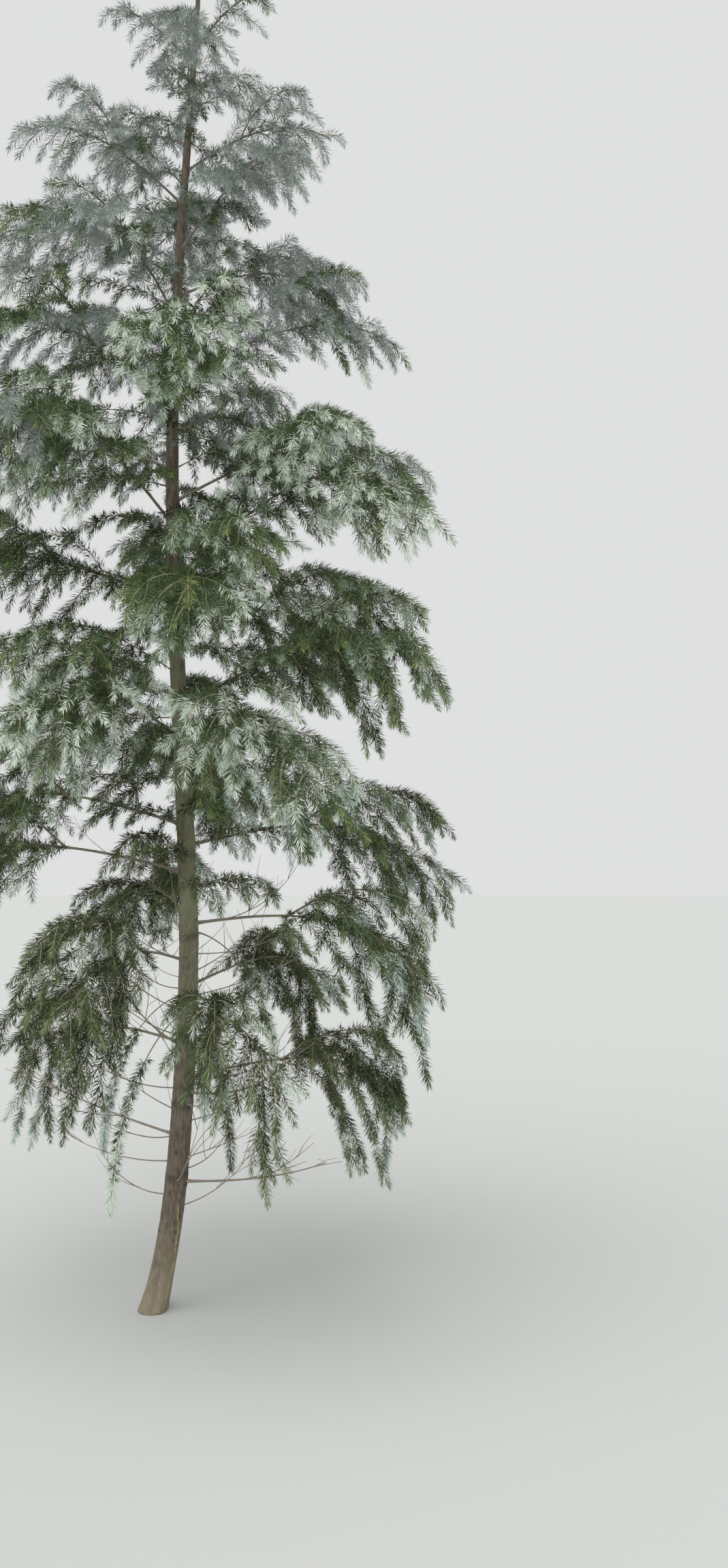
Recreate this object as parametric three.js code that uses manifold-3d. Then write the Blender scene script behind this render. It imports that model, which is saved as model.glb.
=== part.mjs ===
// A young cedar with weeping shoots, rooted in the ground: one trunk, the bare inner boughs of the
// lower branches, the masses of needled shoots that grow on from them or straight from the trunk, the
// leading shoot at the top and the bare dead limbs round the foot. Headings are in degrees
// anticlockwise from +X, and elevations in degrees above level. Millimetres, +Z up. The origin is the
// middle of the flat cut under the trunk, at ground level.
import * as THREE from "three";
import { mergeVertices } from "three/addons/utils/BufferGeometryUtils.js";
import Module from "manifold-3d";

const wasm = await Module();
wasm.setup();

// Every limb and shoot is worked out from this seed and the sizes below
const SEED = 4100;
const DEAD_SEED = 4600;
const CLEARANCE = 0.35; // between two pieces that meet
const FINEST_EDGE = 0.4; // anything finer in a joined mass is smoothed away

// The trunk sweeps out of the ground, then stands nearly upright with one slow bow
const TRUNK_TOP = 4800;
const TRUNK_RADIUS = 40;
const TAPER_END = 5200; // height at which the taper would come to nothing
const TAPER_POWER = 0.7;
const FLARE = 9;
const FLARE_HEIGHT = 60;
const BUTTRESSES = 5;
const BUTTRESS_DEPTH = 0.1;
const BUTTRESS_HEIGHT = 130;
const SWEEP = 118;
const SWEEP_HEIGHT = 430;
const BOW = 88;
const BOW_FOOT = 1150;
const BOW_HEAD = 4950;
const BOW_POWER = 1.5;
const BOW_BACK = 0.25; // of the bow, how far it goes towards +Y as well
const TRUNK_SIDES = 12;
const TRUNK_RINGS = 22;
const RING_POWER = 1.35; // sets the rings closer together towards the foot

// The live branches are numbered upwards and stand round the trunk by the golden angle
const BRANCHES = 42;
const BOUGHS = 12; // the lowest branches, whose bare inner part is a bough of its own
const FIRST_BRANCH = 800;
const LAST_BRANCH = 4690;
const HEIGHT_PLAY = 30;
const GOLDEN_ANGLE = 137.5;
const FIRST_HEADING = 10;
const HEADING_PLAY = 12;
// The branches that stand out most, by number, with their headings
const OWN_HEADINGS = {
  4: -104,
  7: -160,
  10: -66,
  12: -108,
  13: -25,
  18: -36,
  21: 4,
  23: -84,
  30: 180,
  33: -150,
  34: 6,
};
const CROWN_FOOT = 600;
const CROWN_TOP = 5150;
const CROWN_REACH = 1165;
const FOOT_SHARE = 0.62; // of the full reach, at the crown's foot
const WIDEST_SHARE = 0.3; // of the crown's height, where the reach is full
const REACH_POWER = 0.95;
const REACH_PLAY = [0.98, 1.16]; // of the crown's reach, for a branch's length
const BRANCH_STEPS = 6;
const BOUGH_SIDES = 6;
const BARE_STEPS = 2; // of those, the ones that a bough takes
const BRANCH_SAG = 2.2; // how late along its length a branch bends down
const LOW_RISE = 8; // degrees above level where the lowest branch leaves the trunk
const TOP_RISE = 44;
const RISE_PLAY = 5;
const LOW_FALL = -48; // degrees above level at its tip
const TOP_FALL = -32;
const FALL_PLAY = 8;
const DRIFT_PLAY = 12; // degrees that its heading turns along it
const SLIM_RADIUS = 2.6;
const RADIUS_PER_LENGTH = 0.0034;
const TIP_RADIUS = 1.8;
const TAPER = 0.8;

// The fork of a branch: a shorter limb that leaves it early, to one side, and arches over it
const FORKED_BRANCHES = 36; // the shortest ones, at the top, have no fork
const FORK_FROM = 0.41; // of the branch's length
const FORK_LENGTH = 0.56;
const FORK_SPREAD = 22;
const FORK_RISE = [27, 39]; // more than the branch at that point
const FORK_FALL = -60;
const FORK_SAG = 1.6;
const FORK_STEPS = 4;
const FORK_RADIUS = 0.6; // of the branch's
const FORK_NEEDLED_FROM = 0.12; // of the fork's length

// The side shoots of a branch: one to the left, one to the right and one hanging under it, over and over
const BOUGH_NEEDLED_FROM = 0.4; // of the branch's length
const LOW_NEEDLED_FROM = 0.27;
const TOP_NEEDLED_FROM = 0.1;
const LAST_SHOOT = 0.97;
const SHOOT_SPACING = 30;
const FEWEST_SHOOTS = 4;
const SHOOT_STEPS = 6;
const SHOOT_SAG = 1.05;
const SHOOT_DRIFT = -0.35; // of its spread, which turns it back towards its branch's heading
const INNER_SHOOT = 0.48; // of the branch's length
const OUTER_SHOOT = 0.12;
const SHOOT_LENGTH_POWER = 0.7;
const SHOOT_LENGTH_PLAY = [0.75, 1.15];
const INNER_SPREAD = 68;
const OUTER_SPREAD = 38;
const SPREAD_PLAY = 10;
const HANGING_SPREAD = 24;
const LOW_BRANCHES = 8; // whose hanging shoots are longer
const LONG_HANGING = 1.7; // times the usual length
const SIDE_RISE = [-20, 34]; // more than the branch at that point
const HANGING_RISE = [-60, -20];
const SHOOT_FALL = [-60, -88];
const LEAST_BEND = 15;
const LOWEST_TIP = 230; // above the ground
const TRUNK_ROOM = 6; // between the trunk and the nearest needles

// The solid shoots, each of which stands for all the others round it
const NEEDLE_REACH = 0.062; // of the branch's length, from the shoot's core to the points of its teeth
const LEAST_NEEDLE_REACH = 32;
const MOST_NEEDLE_REACH = 66;
const MOST_SUNK = 0.03; // of its own volume, the most that a solid shoot may have inside its mass
const SOLID_SPACING = 122; // of branch length for each solid shoot
const FEWEST_SOLID_SHOOTS = 5; // in one mass
const GOLDEN_SHARE = 0.618034;
const TOOTH_SPACING = 190;
const MOST_TEETH = 2;
const TOOTH_PLACE = 0.72; // along its own stretch of the shoot
const LAST_TOOTH_PLACE = 0.5;
const TOOTH_SLIMMING = 0.75; // of the reach, towards the tip
const CORE_RADIUS = 4.5;
const SUNK_RADIUS = 1.5; // of a shoot's root, right inside its limb
const NEEDLED_SIDES = 3;
const TWIST = 0.5; // radians from each ring of a needled shoot to the next

// The leading shoot
const LEADER_LENGTH = 350;
const LEADER_DRIFT = 30;
const LEADER_FALL = 58;
const LEADER_SAG = 1.8;
const LEADER_SHOOTS = 8;
const LEADER_SHOOT_LENGTH = 190;
const LEADER_SHOOT_RISE = 40;
const LEADER_SHOOT_FALL = -30;

// The bare dead limbs round the foot
const DEAD_LIMBS = 4;
const LOWEST_DEAD = 430;
const DEAD_SPACING = 150;
const DEAD_HEADING = -12;
const DEAD_TURN = 165; // from each one to the next
const DEAD_LENGTH = [510, 700];
const DEAD_RADIUS = 5.2;
const DEAD_TIP_RADIUS = 1.4;
const DEAD_DRIFT_PLAY = 25;
const DEAD_RISE = [-6, 10];
const DEAD_FALL = [20, 40];
const DEAD_SAG = 1.2;
const DEAD_STEPS = 7;
const DEAD_SIDES = 4;
const DEAD_FORKS = 4;
const DEAD_FORK_STEPS = 3;
const DEAD_FORK_SIDES = 3;
const FIRST_DEAD_FORK = 0.3; // of the limb's length
const LAST_DEAD_FORK = 0.86;
const DEAD_FORK_SPREAD = [28, 52];
const DEAD_FORK_DRIFT = -0.4; // of its spread
const DEAD_FORK_RISE = [-16, 20]; // more than the limb at that point
const DEAD_FORK_FALL = [10, 55];
const DEAD_FORK_LENGTH = [0.29, 0.46]; // of the limb's
const DEAD_FORK_RADIUS = 0.55; // of the limb's at that point
const DEAD_FORK_TIP_RADIUS = 0.8;
const DEAD_ROOM = 8; // half the width that a fork keeps to itself

const { clamp, degToRad, lerp } = THREE.MathUtils;

// One fixed stream of numbers from 0 to 1 for each seed
function stream(seed) {
  let state = seed >>> 0;
  return () => {
    state = (state + 0x6d2b79f5) >>> 0;
    let t = Math.imul(state ^ (state >>> 15), state | 1);
    t ^= t + Math.imul(t ^ (t >>> 7), t | 61);
    return ((t ^ (t >>> 14)) >>> 0) / 4294967296;
  };
}

function pick([from, to], draw) {
  return lerp(from, to, draw());
}

// A value from -size to size
function play(size, draw) {
  return (draw() - 0.5) * 2 * size;
}

function trunkCentre(z) {
  const bow = BOW * Math.sin(Math.PI * clamp((z - BOW_FOOT) / (BOW_HEAD - BOW_FOOT), 0, 1)) ** BOW_POWER;
  return new THREE.Vector3(SWEEP * (1 - Math.exp(-z / SWEEP_HEIGHT)) - bow, BOW_BACK * bow, z);
}

function trunkRadius(z) {
  return TRUNK_RADIUS * (1 - z / TAPER_END) ** TAPER_POWER + FLARE * Math.exp(-z / FLARE_HEIGHT);
}

// How far the crown reaches from the trunk at one height
function crownReach(z) {
  const share = clamp((z - CROWN_FOOT) / (CROWN_TOP - CROWN_FOOT), 0, 1);
  const foot = lerp(FOOT_SHARE, 1, Math.min(1, share / WIDEST_SHARE));
  return CROWN_REACH * foot * (1 - share ** 2) ** REACH_POWER;
}

function direction(heading, elevation) {
  const [turn, lift] = [degToRad(heading), degToRad(elevation)];
  return new THREE.Vector3(
    Math.cos(turn) * Math.cos(lift),
    Math.sin(turn) * Math.cos(lift),
    Math.sin(lift),
  );
}

// The centre line of a limb that leaves its start at an elevation of rise and bends towards fall. Each
// station has its point, its heading and its elevation.
function course({ start, heading, drift, rise, fall, length, steps, sag }) {
  const elevationAt = (share) => lerp(rise, fall, share ** sag);
  const point = start.clone();
  const stations = [];
  for (let i = 0; i <= steps; i++) {
    const [share, middle] = [i / steps, (i + 0.5) / steps];
    stations.push({
      point: point.clone(),
      heading: heading + drift * share,
      elevation: elevationAt(share),
    });
    point.addScaledVector(direction(heading + drift * middle, elevationAt(middle)), length / steps);
  }
  return stations;
}

function stationAt(line, share) {
  const place = clamp(share, 0, 1) * (line.length - 1);
  const i = Math.min(Math.floor(place), line.length - 2);
  const [a, b] = [line[i], line[i + 1]];
  return {
    point: a.point.clone().lerp(b.point, place - i),
    heading: lerp(a.heading, b.heading, place - i),
    elevation: lerp(a.elevation, b.elevation, place - i),
  };
}

function liveBranch(number) {
  const draw = stream(SEED + number);
  const share = number / (BRANCHES - 1);
  const height = lerp(FIRST_BRANCH, LAST_BRANCH, share) + play(HEIGHT_PLAY, draw);
  const heading = FIRST_HEADING + GOLDEN_ANGLE * number + play(HEADING_PLAY, draw);
  const length = crownReach(height) * pick(REACH_PLAY, draw);
  const line = course({
    start: trunkCentre(height),
    heading: OWN_HEADINGS[number] ?? heading,
    drift: play(DRIFT_PLAY, draw),
    rise: lerp(LOW_RISE, TOP_RISE, share) + play(RISE_PLAY, draw),
    fall: lerp(LOW_FALL, TOP_FALL, share) + play(FALL_PLAY, draw),
    length,
    steps: BRANCH_STEPS,
    sag: BRANCH_SAG,
  });
  const radius = SLIM_RADIUS + RADIUS_PER_LENGTH * length;
  const freeFrom = lerp(LOW_NEEDLED_FROM, TOP_NEEDLED_FROM, share);
  const needledFrom = number < BOUGHS ? BOUGH_NEEDLED_FROM : freeFrom;
  const reach = clamp(NEEDLE_REACH * length, LEAST_NEEDLE_REACH, MOST_NEEDLE_REACH);
  return { number, line, length, radius, reach, draw, needledFrom };
}

function deadLimb(number) {
  const draw = stream(DEAD_SEED + number);
  const length = pick(DEAD_LENGTH, draw);
  const line = course({
    start: trunkCentre(LOWEST_DEAD + DEAD_SPACING * number),
    heading: DEAD_HEADING + DEAD_TURN * number,
    drift: play(DEAD_DRIFT_PLAY, draw),
    rise: pick(DEAD_RISE, draw),
    fall: pick(DEAD_FALL, draw),
    length,
    steps: DEAD_STEPS,
    sag: DEAD_SAG,
  });
  return { number: BRANCHES + 1 + number, line, length, radius: DEAD_RADIUS, draw };
}

// The trunk's last shoot, which stands on its tip and nods
function leadingShoot() {
  const line = course({
    start: trunkCentre(TRUNK_TOP),
    heading: FIRST_HEADING,
    drift: LEADER_DRIFT,
    rise: 90,
    fall: LEADER_FALL,
    length: LEADER_LENGTH,
    steps: BRANCH_STEPS,
    sag: LEADER_SAG,
  });
  return {
    number: BRANCHES,
    line,
    length: LEADER_LENGTH,
    radius: trunkRadius(TRUNK_TOP),
    reach: LEAST_NEEDLE_REACH,
    draw: stream(SEED + BRANCHES),
  };
}

// The fork of a branch, which bears side shoots of its own
function forkOf({ number, line, length, radius, reach, draw }) {
  const root = stationAt(line, FORK_FROM);
  const fork = {
    start: root.point,
    heading: root.heading + (number % 2 ? FORK_SPREAD : -FORK_SPREAD),
    drift: play(DRIFT_PLAY, draw),
    rise: root.elevation + pick(FORK_RISE, draw),
    fall: root.elevation + FORK_FALL,
    length: FORK_LENGTH * length,
    steps: FORK_STEPS,
    sag: FORK_SAG,
  };
  return {
    number,
    line: course(fork),
    length: fork.length,
    radius: FORK_RADIUS * radius,
    reach,
    draw,
    needledFrom: FORK_NEEDLED_FROM,
  };
}

const branches = Array.from({ length: BRANCHES }, (_, number) => liveBranch(number));
const forks = branches.slice(0, FORKED_BRANCHES).map(forkOf);
const leader = leadingShoot();
const deadLimbs = Array.from({ length: DEAD_LIMBS }, (_, number) => deadLimb(number));
const axes = [...branches, ...forks, leader, ...deadLimbs].map(({ number, line }) => ({
  number,
  points: line.map((station) => station.point),
}));

function distanceToAxis(point, axis) {
  const nearest = new THREE.Vector3();
  const piece = new THREE.Line3();
  return axis.slice(1).reduce((least, end, i) => {
    piece.set(axis[i], end).closestPointToPoint(point, true, nearest);
    return Math.min(least, nearest.distanceTo(point));
  }, Infinity);
}

// True where something of this half width stays nearer to its own limb than to any other, and off the
// trunk
function inOwnSpace(point, number, halfWidth) {
  const trunk = trunkCentre(point.z);
  const fromTrunk = Math.hypot(point.x - trunk.x, point.y - trunk.y) - trunkRadius(point.z);
  if (point.z < TRUNK_TOP && fromTrunk < halfWidth + TRUNK_ROOM) return false;
  if (point.z < halfWidth + LOWEST_TIP) return false;
  let [home, away] = [Infinity, Infinity];
  for (const axis of axes) {
    const distance = distanceToAxis(point, axis.points);
    if (axis.number === number) home = Math.min(home, distance);
    else away = Math.min(away, distance);
  }
  return away - home > 2 * halfWidth;
}

// The shoot's stations up to where it would leave its limb's own space
function keptPart(path, number, halfWidth) {
  const out = path.findIndex((station, i) => i > 0 && !inOwnSpace(station.point, number, halfWidth));
  return out < 0 ? path : path.slice(0, out);
}

// The side shoots of a branch, from its root outwards
function sideShoots({ number, line, length, reach, draw, needledFrom }) {
  const count = Math.max(FEWEST_SHOOTS, Math.round((length * (LAST_SHOOT - needledFrom)) / SHOOT_SPACING));
  const shoots = [];
  for (let j = 0; j < count; j++) {
    const side = [-1, 1, 0][j % 3];
    const share = lerp(needledFrom, LAST_SHOOT, (j + draw()) / count);
    const spread = side
      ? side * (lerp(INNER_SPREAD, OUTER_SPREAD, share) + play(SPREAD_PLAY, draw))
      : play(HANGING_SPREAD, draw);
    const most = length * (INNER_SHOOT * (1 - share) ** SHOOT_LENGTH_POWER + OUTER_SHOOT);
    const hang = side || number >= LOW_BRANCHES ? 1 : LONG_HANGING;
    const full = most * hang * pick(SHOOT_LENGTH_PLAY, draw);
    const root = stationAt(line, share);
    const rise = root.elevation + pick(side ? SIDE_RISE : HANGING_RISE, draw);
    const path = course({
      start: root.point,
      heading: root.heading + spread,
      drift: SHOOT_DRIFT * spread,
      rise,
      fall: Math.min(pick(SHOOT_FALL, draw), rise - LEAST_BEND),
      length: full,
      steps: SHOOT_STEPS,
      sag: SHOOT_SAG,
    });
    const kept = keptPart(path, number, reach);
    const keptLength = (full * (kept.length - 1)) / SHOOT_STEPS;
    if (kept.length > 2) shoots.push({ share, path: kept, length: keptLength });
  }
  return shoots;
}

// The short shoots that stand all round the leading one
function leaderShoots({ number, line, reach, draw }) {
  const shoots = [];
  for (let j = 0; j < LEADER_SHOOTS; j++) {
    const share = (j + 0.5) / LEADER_SHOOTS;
    const most = LEADER_SHOOT_LENGTH * (1 - share) ** SHOOT_LENGTH_POWER;
    const length = most * pick(SHOOT_LENGTH_PLAY, draw);
    const path = course({
      start: stationAt(line, share).point,
      heading: GOLDEN_ANGLE * j,
      drift: 0,
      rise: LEADER_SHOOT_RISE,
      fall: LEADER_SHOOT_FALL,
      length,
      steps: SHOOT_STEPS,
      sag: SHOOT_SAG,
    });
    const kept = keptPart(path, number, reach);
    if (kept.length > 2) shoots.push({ share, path: kept, length });
  }
  return shoots;
}

// A closed tube through rings of points, each square to its station. A last ring with no radius is a
// sharp tip.
function tube(rings, sides) {
  const positions = [];
  const faces = [];
  for (const { point, heading, elevation, radius, turn = 0, shape = () => 1 } of rings) {
    const across = direction(heading + 90, 0);
    const above = direction(heading, elevation + 90);
    for (let i = 0; i < sides; i++) {
      const angle = turn + (2 * Math.PI * i) / sides;
      const reach = radius * shape(angle);
      const corner = point
        .clone()
        .addScaledVector(across, reach * Math.cos(angle))
        .addScaledVector(above, reach * Math.sin(angle));
      positions.push(corner.x, corner.y, corner.z);
    }
  }
  for (let ring = 1; ring < rings.length; ring++) {
    for (let i = 0; i < sides; i++) {
      const [a, b] = [(ring - 1) * sides + i, (ring - 1) * sides + ((i + 1) % sides)];
      faces.push(a, b, a + sides, b, b + sides, a + sides);
    }
  }
  const last = (rings.length - 1) * sides;
  for (let i = 1; i < sides - 1; i++) {
    faces.push(0, i + 1, i, last, last + i, last + i + 1);
  }
  const geometry = new THREE.BufferGeometry();
  geometry.setAttribute("position", new THREE.Float32BufferAttribute(positions, 3));
  geometry.setIndex(faces);
  return geometry;
}

function toSolid(geometry) {
  const merged = mergeVertices(geometry, 1e-3);
  const index = merged.index.array;
  const kept = [];
  for (let i = 0; i < index.length; i += 3) {
    const [a, b, c] = index.subarray(i, i + 3);
    if (a !== b && b !== c && a !== c) kept.push(a, b, c);
  }
  const mesh = new wasm.Mesh({
    numProp: 3,
    vertProperties: merged.attributes.position.array,
    triVerts: new Uint32Array(kept),
  });
  return new wasm.Manifold(mesh);
}

// The biggest of the bodies in a solid, with any hollow inside it filled
function largest(solid) {
  return solid.decompose().reduce((a, b) => (b.volume() > a.volume() ? b : a));
}

// True where two separate corners of a solid fall on one point
function pinched(solid) {
  const { numProp, vertProperties } = solid.getMesh();
  const seen = new Set();
  for (let i = 0; i < vertProperties.length; i += numProp) {
    seen.add(Array.from(vertProperties.subarray(i, i + 3), (value) => value.toFixed(3)).join());
  }
  return seen.size < vertProperties.length / numProp;
}

function toGeometry(solid) {
  const { vertProperties, triVerts } = solid.getMesh();
  const geometry = new THREE.BufferGeometry();
  geometry.setAttribute("position", new THREE.BufferAttribute(new Float32Array(vertProperties), 3));
  geometry.setIndex(new THREE.BufferAttribute(new Uint32Array(triVerts), 1));
  return geometry;
}

function trunkSolid(extra) {
  const rings = [];
  for (let i = 0; i <= TRUNK_RINGS; i++) {
    const height = TRUNK_TOP * (i / TRUNK_RINGS) ** RING_POWER;
    const lobes = BUTTRESS_DEPTH * Math.exp(-height / BUTTRESS_HEIGHT);
    rings.push({
      point: trunkCentre(height),
      heading: 0,
      elevation: 90,
      radius: trunkRadius(height) + extra,
      shape: (angle) => 1 + lobes * Math.cos(BUTTRESSES * angle),
    });
  }
  return toSolid(tube(rings, TRUNK_SIDES));
}

// One shoot: its needles widen forwards to each tooth, then drop back to the core
function needledShoot({ path, length }, reach, turn) {
  const count = clamp(Math.round(length / TOOTH_SPACING), 1, MOST_TEETH);
  const rings = [{ ...path[0], radius: SUNK_RADIUS, turn }];
  for (let i = 0; i < count; i++) {
    const last = i === count - 1;
    const tooth = stationAt(path, (i + (last ? LAST_TOOTH_PLACE : TOOTH_PLACE)) / count);
    const end = stationAt(path, (i + 1) / count);
    rings.push({ ...tooth, radius: reach * lerp(1, TOOTH_SLIMMING, i / count), turn: turn + i });
    rings.push({ ...end, radius: last ? 0 : CORE_RADIUS, turn: turn + i + TWIST });
  }
  return toSolid(tube(rings, NEEDLED_SIDES));
}

// The ring of a limb's bare wood at one of its stations
function woodRing({ line, radius }, i) {
  return { ...line[i], radius: lerp(radius, TIP_RADIUS, (i / (line.length - 1)) ** TAPER) };
}

function bough(branch) {
  const rings = Array.from({ length: BARE_STEPS + 1 }, (_, i) => woodRing(branch, i));
  return toSolid(tube(rings, BOUGH_SIDES));
}

// A limb's bare wood from one of its stations to its middle, then its needled tip with a tooth before
// each station
function needledLimb(limb, from) {
  const { line, reach } = limb;
  const steps = line.length - 1;
  const rings = [];
  for (let i = from; i <= steps / 2; i++) {
    rings.push(woodRing(limb, i));
  }
  for (let i = steps / 2 + 1; i <= steps; i++) {
    const tooth = stationAt(line, (i - 1 + TOOTH_PLACE) / steps);
    rings.push({ ...tooth, radius: reach * lerp(1, TOOTH_SLIMMING, i / steps), turn: i });
    rings.push({ ...line[i], radius: i < steps ? CORE_RADIUS : 0, turn: i + TWIST });
  }
  const forwards = direction(line[from].heading, line[from].elevation);
  rings[0].point = rings[0].point.clone().addScaledVector(forwards, CLEARANCE);
  return toSolid(tube(rings, NEEDLED_SIDES));
}

// The same things in an order that keeps any first few of them even over the whole row
function spreadOut(things) {
  const placed = things.map((thing, i) => ({ thing, place: (i * GOLDEN_SHARE) % 1 }));
  return placed.sort((a, b) => a.place - b.place).map(({ thing }) => thing);
}

// The needled part of a branch: its own stem and tip, with its fork and as many shoots fused on as
// stand clear of one another past their roots
function needleMass(limbs, from, shoots) {
  const [stem, ...others] = limbs.map((limb, i) => needledLimb(limb, i ? 0 : from));
  const most = Math.max(FEWEST_SOLID_SHOOTS, Math.round(limbs[0].length / SOLID_SPACING));
  let mass = others.reduce((whole, limb) => whole.add(limb).simplify(FINEST_EDGE), stem);
  let count = 0;
  for (const shoot of spreadOut(shoots)) {
    if (count === most) break;
    const solid = needledShoot(shoot, limbs[0].reach, count);
    if (mass.intersect(solid).volume() > MOST_SUNK * solid.volume()) continue;
    const rough = mass.add(solid);
    const joined = [rough.simplify(FINEST_EDGE), rough].find((shape) => !pinched(shape));
    if (!joined || joined.decompose().length > 1) continue;
    mass = joined;
    count++;
  }
  return mass;
}

// A dead limb with its bare forks
function deadTwigs({ number, line, length, radius, draw }) {
  const rings = line.map((station, i) => ({
    ...station,
    radius: lerp(radius, DEAD_TIP_RADIUS, i / DEAD_STEPS),
  }));
  let twigs = toSolid(tube(rings, DEAD_SIDES));
  for (let j = 0; j < DEAD_FORKS; j++) {
    const share = lerp(FIRST_DEAD_FORK, LAST_DEAD_FORK, (j + draw()) / DEAD_FORKS);
    const root = stationAt(line, share);
    const spread = (j % 2 ? -1 : 1) * pick(DEAD_FORK_SPREAD, draw);
    const path = course({
      start: root.point,
      heading: root.heading + spread,
      drift: DEAD_FORK_DRIFT * spread,
      rise: root.elevation + pick(DEAD_FORK_RISE, draw),
      fall: pick(DEAD_FORK_FALL, draw),
      length: length * pick(DEAD_FORK_LENGTH, draw),
      steps: DEAD_FORK_STEPS,
      sag: 1,
    });
    const thick = DEAD_FORK_RADIUS * lerp(radius, DEAD_TIP_RADIUS, share);
    const fork = keptPart(path, number, DEAD_ROOM).map((station, i) => ({
      ...station,
      radius: lerp(thick, DEAD_FORK_TIP_RADIUS, i / DEAD_FORK_STEPS),
    }));
    if (fork.length > 2) twigs = twigs.add(toSolid(tube(fork, DEAD_FORK_SIDES)));
  }
  return twigs;
}

const bark = new THREE.MeshStandardMaterial({ color: "#6b6257", roughness: 0.9, metalness: 0 });
const needles = new THREE.MeshStandardMaterial({ color: "#6f866f", roughness: 0.6, metalness: 0 });

const tree = new THREE.Group();
tree.name = "young_cedar";

function place(name, solid, material) {
  const mesh = new THREE.Mesh(toGeometry(solid), material);
  mesh.name = name;
  tree.add(mesh);
}

const trunkSpace = trunkSolid(CLEARANCE);
place("trunk", trunkSolid(0), bark);

for (const branch of branches) {
  const label = String(branch.number + 1).padStart(2, "0");
  const limbs = [branch, ...forks.slice(branch.number, branch.number + 1)];
  const shoots = limbs.flatMap(sideShoots).sort((a, b) => a.share - b.share);
  if (branch.number < BOUGHS) {
    place("bough_" + label, bough(branch).subtract(trunkSpace), bark);
    place("needle_mass_" + label, needleMass(limbs, BARE_STEPS, shoots), needles);
  } else {
    place("needle_mass_" + label, largest(needleMass(limbs, 0, shoots).subtract(trunkSpace)), needles);
  }
}

place("leading_shoot", needleMass([leader], 0, leaderShoots(leader)), needles);

for (const limb of deadLimbs) {
  place("dead_twigs_" + (limb.number - BRANCHES), largest(deadTwigs(limb).subtract(trunkSpace)), bark);
}

export default tree;
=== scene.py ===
"""The looks of a young cedar: relief bark on its trunk and boughs, and its masses of solid shoots grown on by
the same rule, down to single needles. Sizes are in millimetres and become metres in the meshes. Headings are
in degrees anticlockwise from +X, and elevations in degrees above level."""

import math

import bmesh
import bpy
import numpy as np
from mathutils import Matrix, Vector, noise


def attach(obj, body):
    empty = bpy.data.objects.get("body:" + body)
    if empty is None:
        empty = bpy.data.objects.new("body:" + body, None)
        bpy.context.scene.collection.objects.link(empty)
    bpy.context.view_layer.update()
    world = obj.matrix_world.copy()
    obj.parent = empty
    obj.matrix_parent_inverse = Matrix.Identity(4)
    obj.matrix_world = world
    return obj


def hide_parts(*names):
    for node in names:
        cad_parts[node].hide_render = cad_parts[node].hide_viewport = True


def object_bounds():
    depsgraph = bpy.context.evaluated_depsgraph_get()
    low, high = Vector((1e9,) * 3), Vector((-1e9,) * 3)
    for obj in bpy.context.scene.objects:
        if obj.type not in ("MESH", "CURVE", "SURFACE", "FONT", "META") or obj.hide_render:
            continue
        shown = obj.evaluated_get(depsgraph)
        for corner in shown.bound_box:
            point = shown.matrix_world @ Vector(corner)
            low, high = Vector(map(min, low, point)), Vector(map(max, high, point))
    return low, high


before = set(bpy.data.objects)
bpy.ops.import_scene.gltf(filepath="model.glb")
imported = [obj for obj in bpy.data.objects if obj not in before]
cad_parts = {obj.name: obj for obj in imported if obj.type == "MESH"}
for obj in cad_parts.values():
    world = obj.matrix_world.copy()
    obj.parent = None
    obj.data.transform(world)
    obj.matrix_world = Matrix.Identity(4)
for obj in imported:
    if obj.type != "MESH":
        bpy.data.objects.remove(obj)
cad_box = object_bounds()

MM = 0.001

# The rule that the solids grow by, with the same seed and sizes
SEED = 4100
DEAD_SEED = 4600

TRUNK_TOP = 4800
TRUNK_RADIUS = 40
TAPER_END = 5200
TAPER_POWER = 0.7
FLARE = 9
FLARE_HEIGHT = 60
BUTTRESSES = 5
BUTTRESS_DEPTH = 0.1
BUTTRESS_HEIGHT = 130
SWEEP = 118
SWEEP_HEIGHT = 430
BOW = 88
BOW_FOOT = 1150
BOW_HEAD = 4950
BOW_POWER = 1.5
BOW_BACK = 0.25

BRANCHES = 42
BOUGHS = 12
FIRST_BRANCH = 800
LAST_BRANCH = 4690
HEIGHT_PLAY = 30
GOLDEN_ANGLE = 137.5
FIRST_HEADING = 10
HEADING_PLAY = 12
OWN_HEADINGS = {
    4: -104,
    7: -160,
    10: -66,
    12: -108,
    13: -25,
    18: -36,
    21: 4,
    23: -84,
    30: 180,
    33: -150,
    34: 6,
}
CROWN_FOOT = 600
CROWN_TOP = 5150
CROWN_REACH = 1165
FOOT_SHARE = 0.62
WIDEST_SHARE = 0.3
REACH_POWER = 0.95
REACH_PLAY = (0.98, 1.16)
BRANCH_STEPS = 6
BRANCH_SAG = 2.2
LOW_RISE = 8
TOP_RISE = 44
RISE_PLAY = 5
LOW_FALL = -48
TOP_FALL = -32
FALL_PLAY = 8
DRIFT_PLAY = 12
SLIM_RADIUS = 2.6
RADIUS_PER_LENGTH = 0.0034
TIP_RADIUS = 1.8
TAPER = 0.8

FORKED_BRANCHES = 36
FORK_FROM = 0.41
FORK_LENGTH = 0.56
FORK_SPREAD = 22
FORK_RISE = (27, 39)
FORK_FALL = -60
FORK_SAG = 1.6
FORK_STEPS = 4
FORK_RADIUS = 0.6
FORK_NEEDLED_FROM = 0.12

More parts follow.
